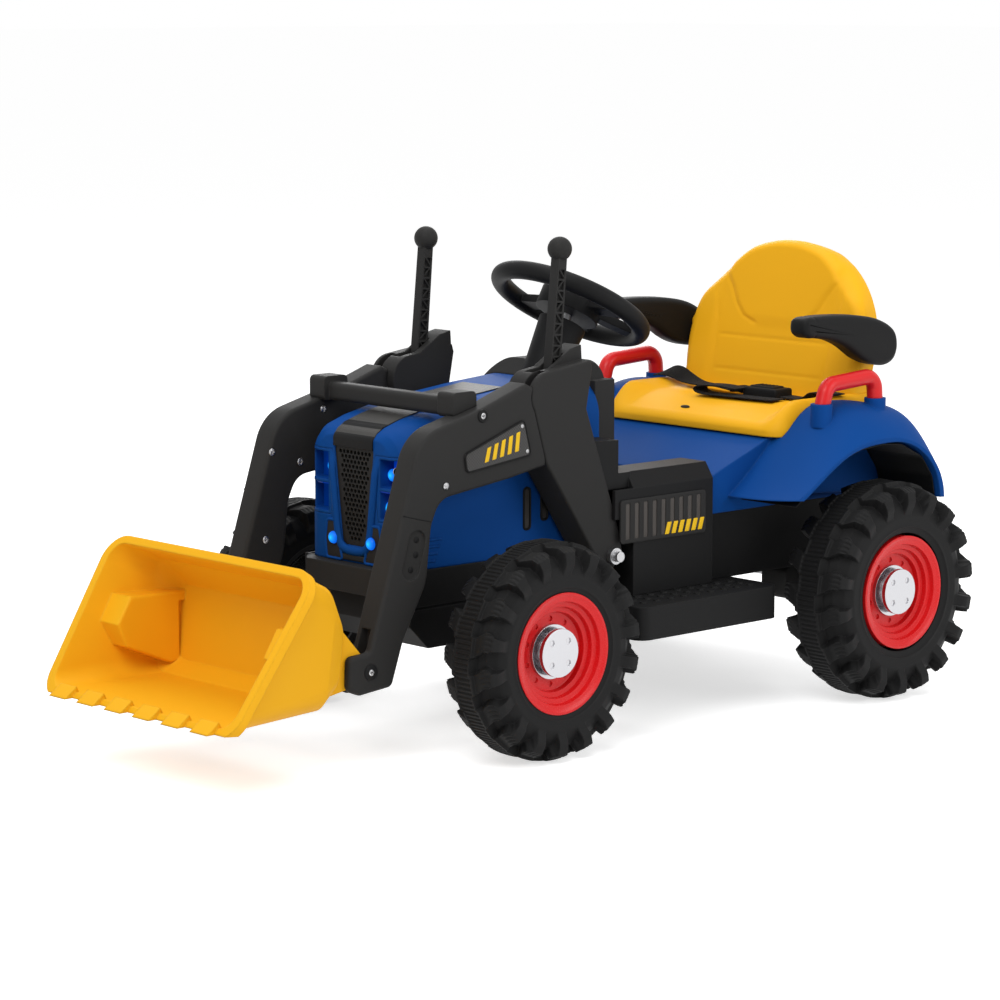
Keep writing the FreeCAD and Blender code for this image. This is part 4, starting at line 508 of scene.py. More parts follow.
@dataclass(frozen=True)
class Moulding:
    """Moulded plastic: colour, gloss, grain and how its edges rub."""

    name: str
    colour: Colour
    roughness: float
    edge: float = 0.0015
    grain_scale: float = 900.0
    grain_depth: float = 0.12
    tone: float = 0.25
    wear: float = 0.10
    shine: float = 0.22

    def build(self) -> bpy.types.Material:
        """Material: the colour varied by tone and lightened on rubbed edges, with grainy gloss."""
        made = Material(self.name, self.roughness)
        skin = made.group(Groups.moulded(), Edge_Radius=self.edge, Grain_Scale=self.grain_scale,
                          Grain_Depth=self.grain_depth)
        shade = tuple(c * 0.72 for c in self.colour)
        pale = tuple(min(1.0, c * 1.2 + 0.03) for c in self.colour)
        tone = made.math("MULTIPLY_ADD", skin.outputs["Tone"], self.tone * 2, 0.5 - self.tone * 0.9, clamp=True)
        toned = made.mix(tone, shade, self.colour)
        rubbed = made.math("MULTIPLY", skin.outputs["Wear"], self.wear * 4, clamp=True)
        made.feed(self.sided(made, made.mix(rubbed, toned, pale)), "Base Color")
        made.feed(made.math("MULTIPLY_ADD", skin.outputs["Grain"], 0.16, self.roughness - 0.08), "Roughness")
        made.feed(skin.outputs["Normal"], "Normal")
        made.set("Specular IOR Level", self.shine)
        return made.data

    def sided(self, made: Material, colour: object) -> object:
        """The colour on each side of the piece: here the same all over."""
        return colour


@dataclass(frozen=True)
class InnerShaded(Moulding):
    """Moulded plastic with painted shade: near-black nearer to the tractor's middle plane than the split."""

    split: float = 0.25
    # Near-black painted shade for the side nearer the middle plane.
    back: Colour = (0.0080, 0.0080, 0.0082)

    def sided(self, made: Material, colour: object) -> object:
        """The painted shade colour where the distance from the middle plane is below the split."""
        place = made.node("ShaderNodeTexCoord").outputs["Object"]
        parts = made.node("ShaderNodeSeparateXYZ", {"Vector": place})
        # Painted shade: the inboard side of each rim turns near-black.
        inner = made.math("LESS_THAN", made.math("ABSOLUTE", parts.outputs["X"]), self.split)
        return made.mix(inner, colour, self.back)


@dataclass(frozen=True)
class Perforated:
    """Dark trim sheet with a lattice of fine dots."""

    name: str
    ground: Colour
    dots: Colour
    pitch: float
    roughness: float = 0.45
    edge: float = 0.0008

    def build(self) -> bpy.types.Material:
        """Material: two tones by the dot lattice, with the dots sunk by bump."""
        made = Material(self.name, self.roughness)
        skin = made.group(Groups.moulded(), Edge_Radius=self.edge, Grain_Depth=0.05)
        dots = made.group(Groups.lattice(), Pitch=self.pitch)
        made.feed(made.mix(dots.outputs["Dot"], self.ground, self.dots), "Base Color")
        bump = made.node("ShaderNodeBump", {"Strength": 0.4, "Distance": -0.0006, "Height": dots.outputs["Dot"],
                                            "Normal": skin.outputs["Normal"]})
        made.feed(bump.outputs["Normal"], "Normal")
        made.set("Specular IOR Level", 0.2)
        return made.data


@dataclass(frozen=True)
class Metal:
    """Bare or plated metal with fine uneven gloss."""

    name: str
    colour: Colour
    roughness: float
    brush: float = 260.0

    def build(self) -> bpy.types.Material:
        """Material: full metallic, with gloss and tone varied by noise."""
        made = Material(self.name, self.roughness, 1.0)
        skin = made.group(Groups.moulded(), Edge_Radius=0.0008, Grain_Scale=self.brush, Grain_Depth=0.04)
        dull = tuple(c * 0.8 for c in self.colour)
        made.feed(made.mix(made.math("SUBTRACT", skin.outputs["Tone"], 0.5, clamp=True), dull, self.colour),
                  "Base Color")
        made.feed(made.math("MULTIPLY_ADD", skin.outputs["Grain"], 0.1, self.roughness - 0.04), "Roughness")
        made.feed(skin.outputs["Normal"], "Normal")
        return made.data


@dataclass(frozen=True)
class Glow:
    """Tinted lamp lens, bright round its diodes."""

    name: str
    tint: Colour
    light: Colour
    halo: Colour
    dark: Colour
    strength: float
    diodes: tuple[Point, ...]
    reach: float

    def build(self) -> bpy.types.Material:
        """Material: emission falls with the distance to the nearest diode, mirrored in X, from light to halo."""
        made = Material(self.name, 0.30)
        made.set("Base Color", (*self.tint, 1.0))
        made.set("Specular IOR Level", 0.12)
        place = made.node("ShaderNodeTexCoord").outputs["Object"]
        fold = made.node("ShaderNodeVectorMath", {0: place}, operation="ABSOLUTE").outputs["Vector"]
        best = 1.0
        for diode in self.diodes:
            folded = tuple(abs(v) for v in diode)
            gap = made.node("ShaderNodeVectorMath", {0: fold, 1: folded}, operation="DISTANCE").outputs["Value"]
            best = made.math("MINIMUM", best, made.math("DIVIDE", gap, self.reach, clamp=True))
        near = made.math("SUBTRACT", 1.0, best, clamp=True)
        halo = made.mix(made.math("POWER", near, 1.6), self.dark, self.halo)
        made.feed(made.mix(made.math("POWER", near, 7.0), halo, self.light), "Emission Color")
        made.set("Emission Strength", self.strength)
        return made.data


@dataclass(frozen=True)
class Webbing:
    """Woven strap: close ribs across and a fine twill."""

    name: str
    colour: Colour
    pitch: float = 620.0

    def build(self) -> bpy.types.Material:
        """Material: two crossed sine waves on the strap's map give the weave's height and tone."""
        made = Material(self.name, 0.82)
        place = made.node("ShaderNodeUVMap").outputs["UV"]
        weave = made.math("MULTIPLY", *(
            made.node("ShaderNodeTexWave", {"Vector": place, "Scale": self.pitch}, bands_direction=way).outputs["Fac"]
            for way in ("X", "Y")))
        bump = made.node("ShaderNodeBump", {"Strength": 0.6, "Distance": 0.0006, "Height": weave})
        made.feed(bump.outputs["Normal"], "Normal")
        made.feed(made.mix(weave, tuple(c * 0.5 for c in self.colour), self.colour), "Base Color")
        made.set("Sheen Weight", 0.06)
        made.set("Specular IOR Level", 0.10)
        return made.data


class Finish(Enum):
    """The tractor's finishes."""

    BLUE = Moulding("blue_shell", (0.0050, 0.060, 0.262), 0.56, edge=0.0040, grain_depth=0.05, shine=0.04)
    YELLOW = Moulding("yellow_shell", (0.94, 0.470, 0.013), 0.50, edge=0.0035, grain_depth=0.05, tone=0.14,
                      shine=0.10)
    RED = Moulding("red_plastic", (0.72, 0.012, 0.014), 0.34, edge=0.0012, grain_depth=0.04, tone=0.15, shine=0.28)
    # The rims' inboard halves carry painted shade, not a second paint colour.
    FRONT_RIM = InnerShaded("red_front_rim", (0.70, 0.008, 0.010), 0.26, edge=0.0012, grain_depth=0.04, tone=0.15,
                        shine=0.26, split=0.2510)
    REAR_RIM = InnerShaded("red_rear_rim", (0.70, 0.008, 0.010), 0.26, edge=0.0012, grain_depth=0.04, tone=0.15,
                       shine=0.26, split=0.2836)
    BLACK = Moulding("black_plastic", (0.0095, 0.0095, 0.0098), 0.54, edge=0.0025, shine=0.10)
    GREY = Moulding("grey_plastic", (0.0245, 0.0240, 0.0236), 0.58, edge=0.0030, grain_depth=0.14, shine=0.10)
    TYRE = Moulding("tyre_plastic", (0.0088, 0.0088, 0.0090), 0.60, edge=0.0014, grain_depth=0.2, wear=0.16,
                    shine=0.12)
    STRIPE = Perforated("stripe_sheet", (0.058, 0.056, 0.053), (0.040, 0.039, 0.037), 760.0)
    WEB = Moulding("grille_web", (0.0150, 0.0145, 0.0140), 0.50, edge=0.0006, shine=0.12)
    MESH = Perforated("fine_mesh", (0.075, 0.066, 0.060), (0.010, 0.010, 0.010), 420.0)
    PLATE = Perforated("plate_sheet", (0.020, 0.020, 0.020), (0.075, 0.072, 0.070), 330.0)
    CHROME = Metal("bright_cap", (0.54, 0.54, 0.56), 0.20)
    STEEL = Metal("plain_steel", (0.50, 0.50, 0.51), 0.30)
    PRINT = Moulding("yellow_print", (0.90, 0.55, 0.010), 0.45, edge=0.0003, grain_depth=0.02, tone=0.1)
    STRAP = Webbing("webbing", (0.0080, 0.0080, 0.0085))

    @property
    def material(self) -> bpy.types.Material:
        """The finish's material, built on first use."""
        return bpy.data.materials.get("dressed_" + self.value.name) or self._build()

    def _build(self) -> bpy.types.Material:
        """Build the material under its kept name."""
        made = self.value.build()
        made.name = "dressed_" + self.value.name
        return made


class CadDress:
    """Finishes of the CAD nodes that stay in view."""

    FINISHES = {
        Finish.BLUE: ("hood", "rear_body", "headlight_"),
        Finish.YELLOW: ("bucket", "seat_"),
        Finish.RED: ("grab_handle_left", "grab_handle_right", "power_button"),
        Finish.FRONT_RIM: ("rim_front_",),
        Finish.REAR_RIM: ("rim_rear_",),
        Finish.BLACK: ("chassis_tub", "side_box_", "step_", "steering_wheel", "column_cover", "horn_button",
                       "belt_buckle", "direction_rocker", "accelerator_pedal", "armrest_", "battery"),
        Finish.GREY: ("nose_skirt", "dash_cowl", "side_panels", "cross_bar",
                      "drive_gearboxes", "boom_left", "boom_right", "tower_", "lever_"),
        Finish.STRIPE: ("hood_stripe",),
        Finish.WEB: ("grille",),
        Finish.MESH: ("hood_vents",),
        Finish.PLATE: ("boom_plates",),
        Finish.TYRE: ("tyre_",),
        Finish.CHROME: ("hub_cap_",),
        Finish.STEEL: ("loader_pins", "rear_axle", "front_axle_beam", "tie_rod", "steering_shaft", "knuckle_"),
        Finish.STRAP: ("belt_webbing",),
    }

    def smooth_group(self) -> bpy.types.NodeTree:
        """Geometry group that joins a node's loose triangles and shades its gentle edges smooth."""
        tree = bpy.data.node_groups.new("GentleEdges", "GeometryNodeTree")
        tree.interface.new_socket(name="Geometry", in_out="INPUT", socket_type="NodeSocketGeometry")
        tree.interface.new_socket(name="Geometry", in_out="OUTPUT", socket_type="NodeSocketGeometry")
        start, end = add_node(tree, "NodeGroupInput"), add_node(tree, "NodeGroupOutput")
        weld = add_node(tree, "GeometryNodeMergeByDistance", {"Geometry": start.outputs[0], "Distance": 1e-6})
        faces = add_node(tree, "GeometryNodeSetShadeSmooth", {"Geometry": weld.outputs["Geometry"]})
        angle = add_node(tree, "GeometryNodeInputMeshEdgeAngle").outputs["Unsigned Angle"]
        gentle = add_node(tree, "FunctionNodeCompare", {"A": angle, "B": math.radians(24)}, operation="LESS_THAN")
        edges = add_node(tree, "GeometryNodeSetShadeSmooth", {"Geometry": faces.outputs["Geometry"],
                                                              "Shade Smooth": gentle.outputs["Result"]}, domain="EDGE")
        tree.links.new(edges.outputs["Geometry"], end.inputs[0])
        return tree

    def dress(self) -> None:
        """Give every node its finish and gentle shading."""
        smooth = self.smooth_group()
        lens = Nose().lens_material()
        for name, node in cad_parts.items():
            material = lens if name == "lamp_lenses" else self.finish_of(name).material
            node.data.materials.clear()
            node.data.materials.append(material)
            node.modifiers.new("gentle_edges", "NODES").node_group = smooth
            LOG.info("node %s: %s", name, material.name)

    def finish_of(self, name: str) -> Finish:
        """The finish whose list names the node, whole or by its start."""
        for finish, starts in self.FINISHES.items():
            if any(name == s or (s.endswith("_") and name.startswith(s)) for s in starts):
                return finish
        return Finish.BLACK


@dataclass
class Nose:
    """Trim of the hood's nose: grille surround, lamps, lower plates and the panel above the grille."""

    face_y: float = -0.250
    ring_width: float = 0.0125
    ring_height: float = 0.0045
    shield: tuple[Pair, ...] = ((-0.0470, 0.389), (-0.0310, 0.262), (-0.0210, 0.2490),
                                               (0.0210, 0.2490), (0.0310, 0.262), (0.0470, 0.389))
    diodes: tuple[Point, ...] = ((0.060, -0.2350, 0.3530), (0.054, -0.2350, 0.3100))
    low_diode: Point = (0.0375, -0.2535, 0.2635)
    diode_radius: float = 0.0082
    dome_rise: float = 0.7
    shelf_tops: tuple[float, ...] = (0.3360, 0.2945)
    shelf_start: Point = (0.0445, -0.2200, 0.0024)  # inner x, rear y and thickness
    shelf_length: float = 0.0490
    shelf_reach: Pair = (0.0290, 0.0130)
    shelf_dip: float = 0.0040
    brow_half: float = 0.039
    brow_line: tuple[Pair, ...] = ((-0.2512, 0.3835), (-0.2512, 0.3945), (-0.2495, 0.3985), (-0.2330, 0.4118),
                                   (-0.2255, 0.4140))
    plate_corners: tuple[Pair, ...] = ((0.0220, 0.2360), (0.0530, 0.2360), (0.0560, 0.2620), (0.0520, 0.2860),
                                       (0.0345, 0.2860))
    strip_corner: Pair = (0.0235, 0.2365)
    strip_top: float = 0.2440

    def lens_material(self) -> bpy.types.Material:
        """Blue lens with its glow round the diodes, built on first use."""
        made = bpy.data.materials.get("dressed_lamp_lens")
        if made:
            return made
        poles = tuple((x, y - self.dome_rise * self.diode_radius, z) for x, y, z in self.diodes + (self.low_diode,))
        return Glow("dressed_lamp_lens", (0.0, 0.02, 0.12), (0.02, 0.62, 1.0), (0.0, 0.065, 0.95),
                    (0.0, 0.010, 0.085), 1.15, poles, 0.032).build()

    def build(self) -> None:
        """All pieces of the nose."""
        self.surround()
        self.brow()
        self.lower_plates()
        self.diode_domes()
        self.shelves()

    def surround(self) -> None:
        """Blue raised surround: a half-round profile carried down one side of the shield and up the other, with
        its ends sunk into the hood."""
        knots = np.asarray(self.shield)
        line = np.concatenate((knots[:1], rounded(knots, 0.022, 9)[9:-9], knots[-1:]))
        line = resampled(line, 90)
        path = np.stack((line[:, 0], self.face_y + 0.0055 * step_up(line[:, 1], 0.350, 0.386), line[:, 1]), axis=1)
        profile = half_round(self.ring_width, self.ring_height)
        Workshop.piece("grille_surround", carry(path, np.cross(heading(path), FORWARD), FORWARD, profile),
                       Finish.BLUE, "chassis", "blue_shell")

    def brow(self) -> None:
        """Dark panel from the grille's top over the nose's edge: a thin bent strip with a rounded section."""
        line = resampled(np.asarray(self.brow_line), 40)
        path = at_x(line, 0.0)
        section = box_outline((-self.brow_half, -0.001), (self.brow_half, 0.0012), 0.0008, 4)
        Workshop.piece("nose_brow", carry(path, OUT_X, np.cross(OUT_X, heading(path)), section), Finish.BLACK,
                       "chassis", "black_plastic")

    def lower_plates(self) -> None:
        """Grey plates beside the grille's foot, each in a blue frame."""
        outline = rounded(self.plate_corners, 0.004)
        plate = slab(outline, self._on_face, FORWARD, 0.0018, 0.0008)
        (x, low), high = self.strip_corner, self.strip_top
        strip = slab(box_outline((-x, low), (x, high), 0.001, 3), self._on_face, FORWARD, 0.0018, 0.0006)
        frame_rim = rim(self._on_face(resampled(outline, 80, True)), FORWARD, 0.0045, 0.0036)
        Workshop.piece("nose_plates", join((plate, plate.mirrored(), strip)), Finish.GREY, "chassis", "grey_plastic")
        Workshop.piece("nose_plate_frames", both([frame_rim]), Finish.BLUE, "chassis", "blue_shell")

    def _on_face(self, flat: Array) -> Array:
        """Points (x, z) on the nose's flat face."""
        return np.stack((flat[:, 0], np.full(len(flat), self.face_y), flat[:, 1]), axis=1)

    def diode_domes(self) -> None:
        """Small round lamp domes: a quarter circle turned about Y."""
        turn = np.linspace(0, QUARTER, 9)
        profile = np.stack((np.cos(turn), np.sin(turn) * self.dome_rise), axis=1) * self.diode_radius
        domes = [spun(profile, place, FORWARD, 28) for place in self.diodes + (self.low_diode,)]
        Workshop.piece("lamp_domes", both(domes), self.lens_material(), "chassis", "lamp_lens")

    def shelves(self) -> None:
        """Wedge shelf under each lamp: a thin plate that dips and widens towards its outer front corner, glowing with
        painted light from the diodes.
        """
        x0, y0, thick = self.shelf_start
        s, t = np.meshgrid(np.linspace(0, 1, 14), np.linspace(0, 1, 8), indexing="ij")
        shelves = []
        for top in self.shelf_tops:
            x = x0 + self.shelf_length * s
            y = y0 - (self.shelf_reach[0] - self.shelf_reach[1] * s ** 2) * t
            z = top - self.shelf_dip * t * (0.5 + 0.5 * s)
            upper = np.stack((x, y, z), axis=-1)
            lower = upper - np.array((0.0, 0.0, thick))
            shelves.append(capped(np.concatenate((upper, lower[:, ::-1]), axis=1)))
        # Painted light: the blue shelves take the lens's glow round the diodes, as if lit by them.
        Workshop.piece("lamp_shelves", both(shelves), self.lens_material(), "chassis", "blue_shell")


@dataclass
class LoaderTrim:
    """Small parts on the loader's booms and towers."""

    outer_x: float = 0.160
    inner_x: float = 0.124
    outer_screws: tuple[Pair, ...] = ((-0.234, 0.3494), (-0.1714, 0.4330), (-0.359, 0.128))
    washers: tuple[tuple[float, float, float], ...] = ((-0.1714, 0.4330, 0.0085), (-0.359, 0.128, 0.0105))
    inner_screws: tuple[Pair, ...] = ((-0.1977, 0.4184), (-0.2850, 0.3690), (-0.2376, 0.3520),
                                                     (-0.2970, 0.2544))
    pocket_x: float = 0.1570
    pocket_holes: tuple[Pair, ...] = ((-0.2810, 0.2860), (-0.2820, 0.2670), (-0.2905, 0.2490))
    seam: tuple[Pair, ...] = ((-0.3045, 0.3185), (-0.2860, 0.3135), (-0.2585, 0.3065))
    plate_corners: tuple[Pair, ...] = ((-0.2030, 0.3861), (-0.1009, 0.4220), (-0.0890, 0.3761),
                                                      (-0.1991, 0.3630))
    plate_face: float = 0.1616
    outer_head: Pair = (0.0046, 0.0022)
    inner_head: Pair = (0.0048, 0.0020)
    plate_head: Pair = (0.0026, 0.0012)
    plate_screws: tuple[Pair, ...] = ((0.95, 0.13), (0.955, 0.87))
    washer_profile: tuple[Pair, ...] = ((1.0, 0.0), (1.0, 0.0010), (0.92, 0.0016), (0.45, 0.0016))
    # Profile of the black discs painted as shade in the pocket holes.
    hole_shade_profile: tuple[Pair, ...] = ((0.0042, 0.0), (0.0042, 0.0004), (0.0036, 0.0005))
    bar_corners: tuple[Pair, ...] = ((0.10, 0.24), (0.16, 0.24), (0.08, 0.78), (0.02, 0.78))
    bar_starts: tuple[float, ...] = (0.26, 0.38, 0.50, 0.62, 0.74)

    def build(self) -> None:
        """Screws, plate frames and plate bars of both booms."""
        self.screws()
        self.plate_trim()
        self.marks()

    def marks(self) -> None:
        """Dark washers, black discs as painted shade in the holes of the front legs' pockets, and the seam across each
        boom.
        """
        ring, hole_shade = np.asarray(self.washer_profile), np.asarray(self.hole_shade_profile)
        parts = [spun(ring * (r, 1.0), (self.outer_x, y, z), OUT_X, 36) for y, z, r in self.washers]
        # Painted shade: black discs stand for the dark insides of the pocket holes.
        parts += [spun(hole_shade, (self.pocket_x, y, z), OUT_X, 28) for y, z in self.pocket_holes]
        line = resampled(np.asarray(self.seam), 30)
        path = at_x(line, self.outer_x - 0.0002)
        parts.append(carry(path, np.cross(heading(path), OUT_X), OUT_X, half_round(0.0016, 0.0005)))
        Workshop.piece("boom_marks", both(parts), Finish.BLACK, "loader", "black_plastic")

    def screws(self) -> None:
        """Cross-head screws on the booms' outer and inner faces."""
        heads = [screw_head((self.outer_x + 0.0006, y, z), OUT_X, *self.outer_head) for y, z in self.outer_screws]
        heads += [screw_head((self.inner_x, y, z), (-1.0, 0.0, 0.0), *self.inner_head) for y, z in self.inner_screws]
        heads += [screw_head((self.plate_face, *self.on_plate(s, t)), OUT_X, *self.plate_head)
                  for s, t in self.plate_screws]
        Workshop.piece("boom_screws", both(heads), Finish.STEEL, "loader", "plain_steel")

    def on_plate(self, s: float, t: float) -> tuple[float, float]:
        """(y, z) on the plate: s runs from its front to its rear, t from its top to its bottom edge."""
        a, b, c, d = np.asarray(self.plate_corners)
        y, z = (1 - t) * ((1 - s) * a + s * b) + t * ((1 - s) * d + s * c)
        return float(y), float(z)

    def plate_trim(self) -> None:
        """Thin rim round each plate and slanted bars across it."""
        loop = resampled(rounded(self.plate_corners, 0.006), 120, True)
        edge = rim(at_x(loop, self.plate_face), OUT_X, 0.0026, 0.0011)
        Workshop.piece("plate_rims", both([edge]), Finish.BLACK, "loader", "black_plastic")
        bars = []
        for start in self.bar_starts:
            corners = [self.on_plate(start + s, t) for s, t in self.bar_corners]
            bars.append(printed_bar(corners, self.plate_face))
        Workshop.piece("plate_bars", both(bars), Finish.PRINT, "loader", "grey_plastic")


@dataclass
class SeatBack:
    """Moulded seat back: side wings, a headrest lobe and pressed seams, leaning back from the seat's pan."""

    foot: Point = (0.0, 0.516, 0.396)
    lean: float = math.radians(13.0)
    half_width: float = 0.164
    height: float = 0.222
    depth: float = 0.046
    edge: float = 0.016
    outline: tuple[Pair, ...] = (
        (0.55, -0.06), (0.97, -0.02), (1.03, 0.12), (1.05, 0.28), (1.04, 0.40), (1.0, 0.53), (0.93, 0.62),
        (0.785, 0.705), (0.68, 0.775), (0.61, 0.845), (0.43, 0.94), (0.19, 0.99))
    rear_outline: tuple[Pair, ...] = (
        (0.55, -0.06), (0.96, -0.02), (1.0, 0.12), (1.01, 0.28), (1.0, 0.42), (0.955, 0.56), (0.87, 0.68),
        (0.77, 0.775), (0.66, 0.85), (0.56, 0.90), (0.41, 0.955), (0.19, 0.99))
    side_seam: tuple[Pair, ...] = ((0.64, -0.06), (0.66, 0.20), (0.68, 0.45), (0.73, 0.62),
                                                  (0.69, 0.77))
    lobe_seam: tuple[Pair, ...] = ((0.69, 0.775), (0.57, 0.66), (0.49, 0.56), (0.39, 0.48),
                                                  (0.24, 0.44))
    cross_seams: tuple[float, ...] = (0.345, 0.12)
    seam_depth: float = 0.0009
    wing_rise: float = 0.0022
    lobe_rise: float = 0.0018
    boss: Point = (0.0, 0.556, 0.482)

    def build(self) -> None:
        """The cushion and the armrests' bosses, in place of the plain seat back."""
        turn = np.array(((0.0130, 0.150), (0.0130, 0.1690), (0.0110, 0.1692)))
        boss = spun(turn, self.boss, OUT_X, 32)
        Workshop.piece("moulded_seat_back", join((self.cushion(), boss, boss.mirrored())), Finish.YELLOW,
                       "chassis", "yellow_shell", ("seat_back",))

    def cushion(self) -> Patch:
        """Closed cushion: the outline drawn in to the middle on the front, round its edge and over its back.

        A front point lies at depth 0, pushed in by the seams and out by the wings and the lobe. The edge is a
        quarter ellipse, and over the depth the front outline turns into the rear one. Each point then leans: y
        gains height times sin, z keeps height times cos.

        Returns:
            The cushion in the object's frame.
        """
        loop, rear = self._loop(self.outline), self._loop(self.rear_outline)
        middle = np.array((0.0, self.height * 0.46))
        front = np.linspace(0.02, 1.0, 60)
        turn = np.linspace(0, QUARTER, 8)
        inset = self.edge / self.half_width
        scale = np.concatenate((front * (1 - inset), 1 - inset * (1 - np.sin(turn)), [1.0, 0.99, 0.93, 0.5]))
        sink = np.concatenate((front * 0, self.edge * (1 - np.cos(turn)), [0.6 * self.depth, 0.85 * self.depth,
                                                                           self.depth, self.depth]))
        behind = step_up(sink, 0.0, 0.6 * self.depth)[:, None, None]
        flat = middle + (loop + (rear - loop) * behind - middle) * scale[:, None, None]
        shown = (1 - step_up(scale, 1 - inset * 1.2, 1.0))[:, None] * (np.arange(len(scale)) < 68)[:, None]
        deep = sink[:, None] + self.relief(flat) * shown
        x, h = flat[..., 0], flat[..., 1]
        y = self.foot[1] + deep * math.cos(self.lean) + h * math.sin(self.lean)
        z = self.foot[2] - deep * math.sin(self.lean) + h * math.cos(self.lean)
        return capped(np.stack((x, y, z), axis=-1))

    def _loop(self, half: Sequence[Pair]) -> Array:
        """Smooth closed loop through one side's knots, the top and the other side's knots."""
        knots = np.asarray(half)
        whole = np.concatenate((knots * (-1, 1), ((0.0, 1.0),), knots[::-1]))
        return smooth_loop(whole, 12) * (self.half_width, self.height)

    def relief(self, flat: Array) -> Array:
        """Depth of the front at (x, height): seams press in, wings and lobe stand out."""
        u, v = np.abs(flat[..., 0]) / self.half_width, flat[..., 1] / self.height
        wing = step_up(u, 0.64, 0.76) * (1 - step_up(v, 0.56, 0.74))
        lobe_edge = np.interp(v, [p[1] for p in self.lobe_seam[::-1]], [p[0] for p in self.lobe_seam[::-1]])
        lobe = (1 - step_up(u, lobe_edge - 0.08, lobe_edge + 0.02)) * step_up(v, 0.40, 0.50)
        press = self._groove(u, v, self.side_seam, 0.0026) + 1.1 * self._groove(u, v, self.lobe_seam, 0.0028)
        for level in self.cross_seams:
            press = press + np.exp(-(((v - level) * self.height) / 0.0024) ** 2) * (1 - step_up(u, 0.60, 0.66))
        return self.seam_depth * np.minimum(press, 1.2) - self.wing_rise * wing - self.lobe_rise * lobe

    def _groove(self, u: Array, v: Array, seam: Sequence[Pair], width: float) -> Array:
        """Bell curve of the distance to a seam line."""
        line = resampled(np.asarray(seam) * (self.half_width, self.height), 70)
        place = np.stack((u * self.half_width, v * self.height), axis=-1)
        gap = np.linalg.norm(place[..., None, :] - line, axis=-1).min(axis=-1)
        return np.exp(-(gap / width) ** 2)


@dataclass
class Armrests:
    """Smooth flip-up armrests, one on each side of the seat back."""

    inner: float = 0.1693
    outer: float = 0.2033
    edge: float = 0.0095
    seam_y: float = 0.4045
    outline: tuple[Pair, ...] = (
        (0.3835, 0.5165), (0.3835, 0.5035), (0.3930, 0.4955), (0.4130, 0.4935), (0.4430, 0.4885),
        (0.4710, 0.4775), (0.4980, 0.4610), (0.5230, 0.4510), (0.5500, 0.4470), (0.5690, 0.4545),
        (0.5765, 0.4740), (0.5690, 0.4960), (0.5400, 0.5115), (0.4970, 0.5200), (0.4450, 0.5238),
        (0.4020, 0.5238), (0.3890, 0.5222))

    def build(self) -> None:
        """Both armrests, in place of the plain ones."""
        for side in Side:
            patch = self.rest() if side is Side.LEFT else self.rest().mirrored()
            name = "armrest_" + side.word
            Workshop.piece("smooth_" + name, patch, Finish.BLACK, name + "_arm", "black_plastic", (name,))

    def rest(self) -> Patch:
        """Left armrest: the outline carried across X, drawn in along its normals over quarter rounds at both faces.

        Returns:
            The closed armrest, with a fine groove round it behind its front end.
        """
        loop = resampled(smooth_loop(self.outline, 12), 280, True)
        along = heading(loop, True)
        inward = np.stack((-along[:, 1], along[:, 0]), axis=1)
        turn = np.linspace(0, QUARTER, 9)
        inset = self.edge * np.concatenate((1 - np.sin(turn), 1 - np.cos(turn)))
        x = np.concatenate((self.inner + self.edge * (1 - np.cos(turn)),
                            self.outer - self.edge * (1 - np.sin(turn))))
        groove = 0.0009 * np.exp(-((loop[:, 0] - self.seam_y) / 0.0016) ** 2)
        flat = loop[None] + inward[None] * (inset[:, None] + groove[None])[..., None]
        return capped(np.concatenate((np.broadcast_to(x[:, None, None], (*flat.shape[:2], 1)), flat), axis=-1))


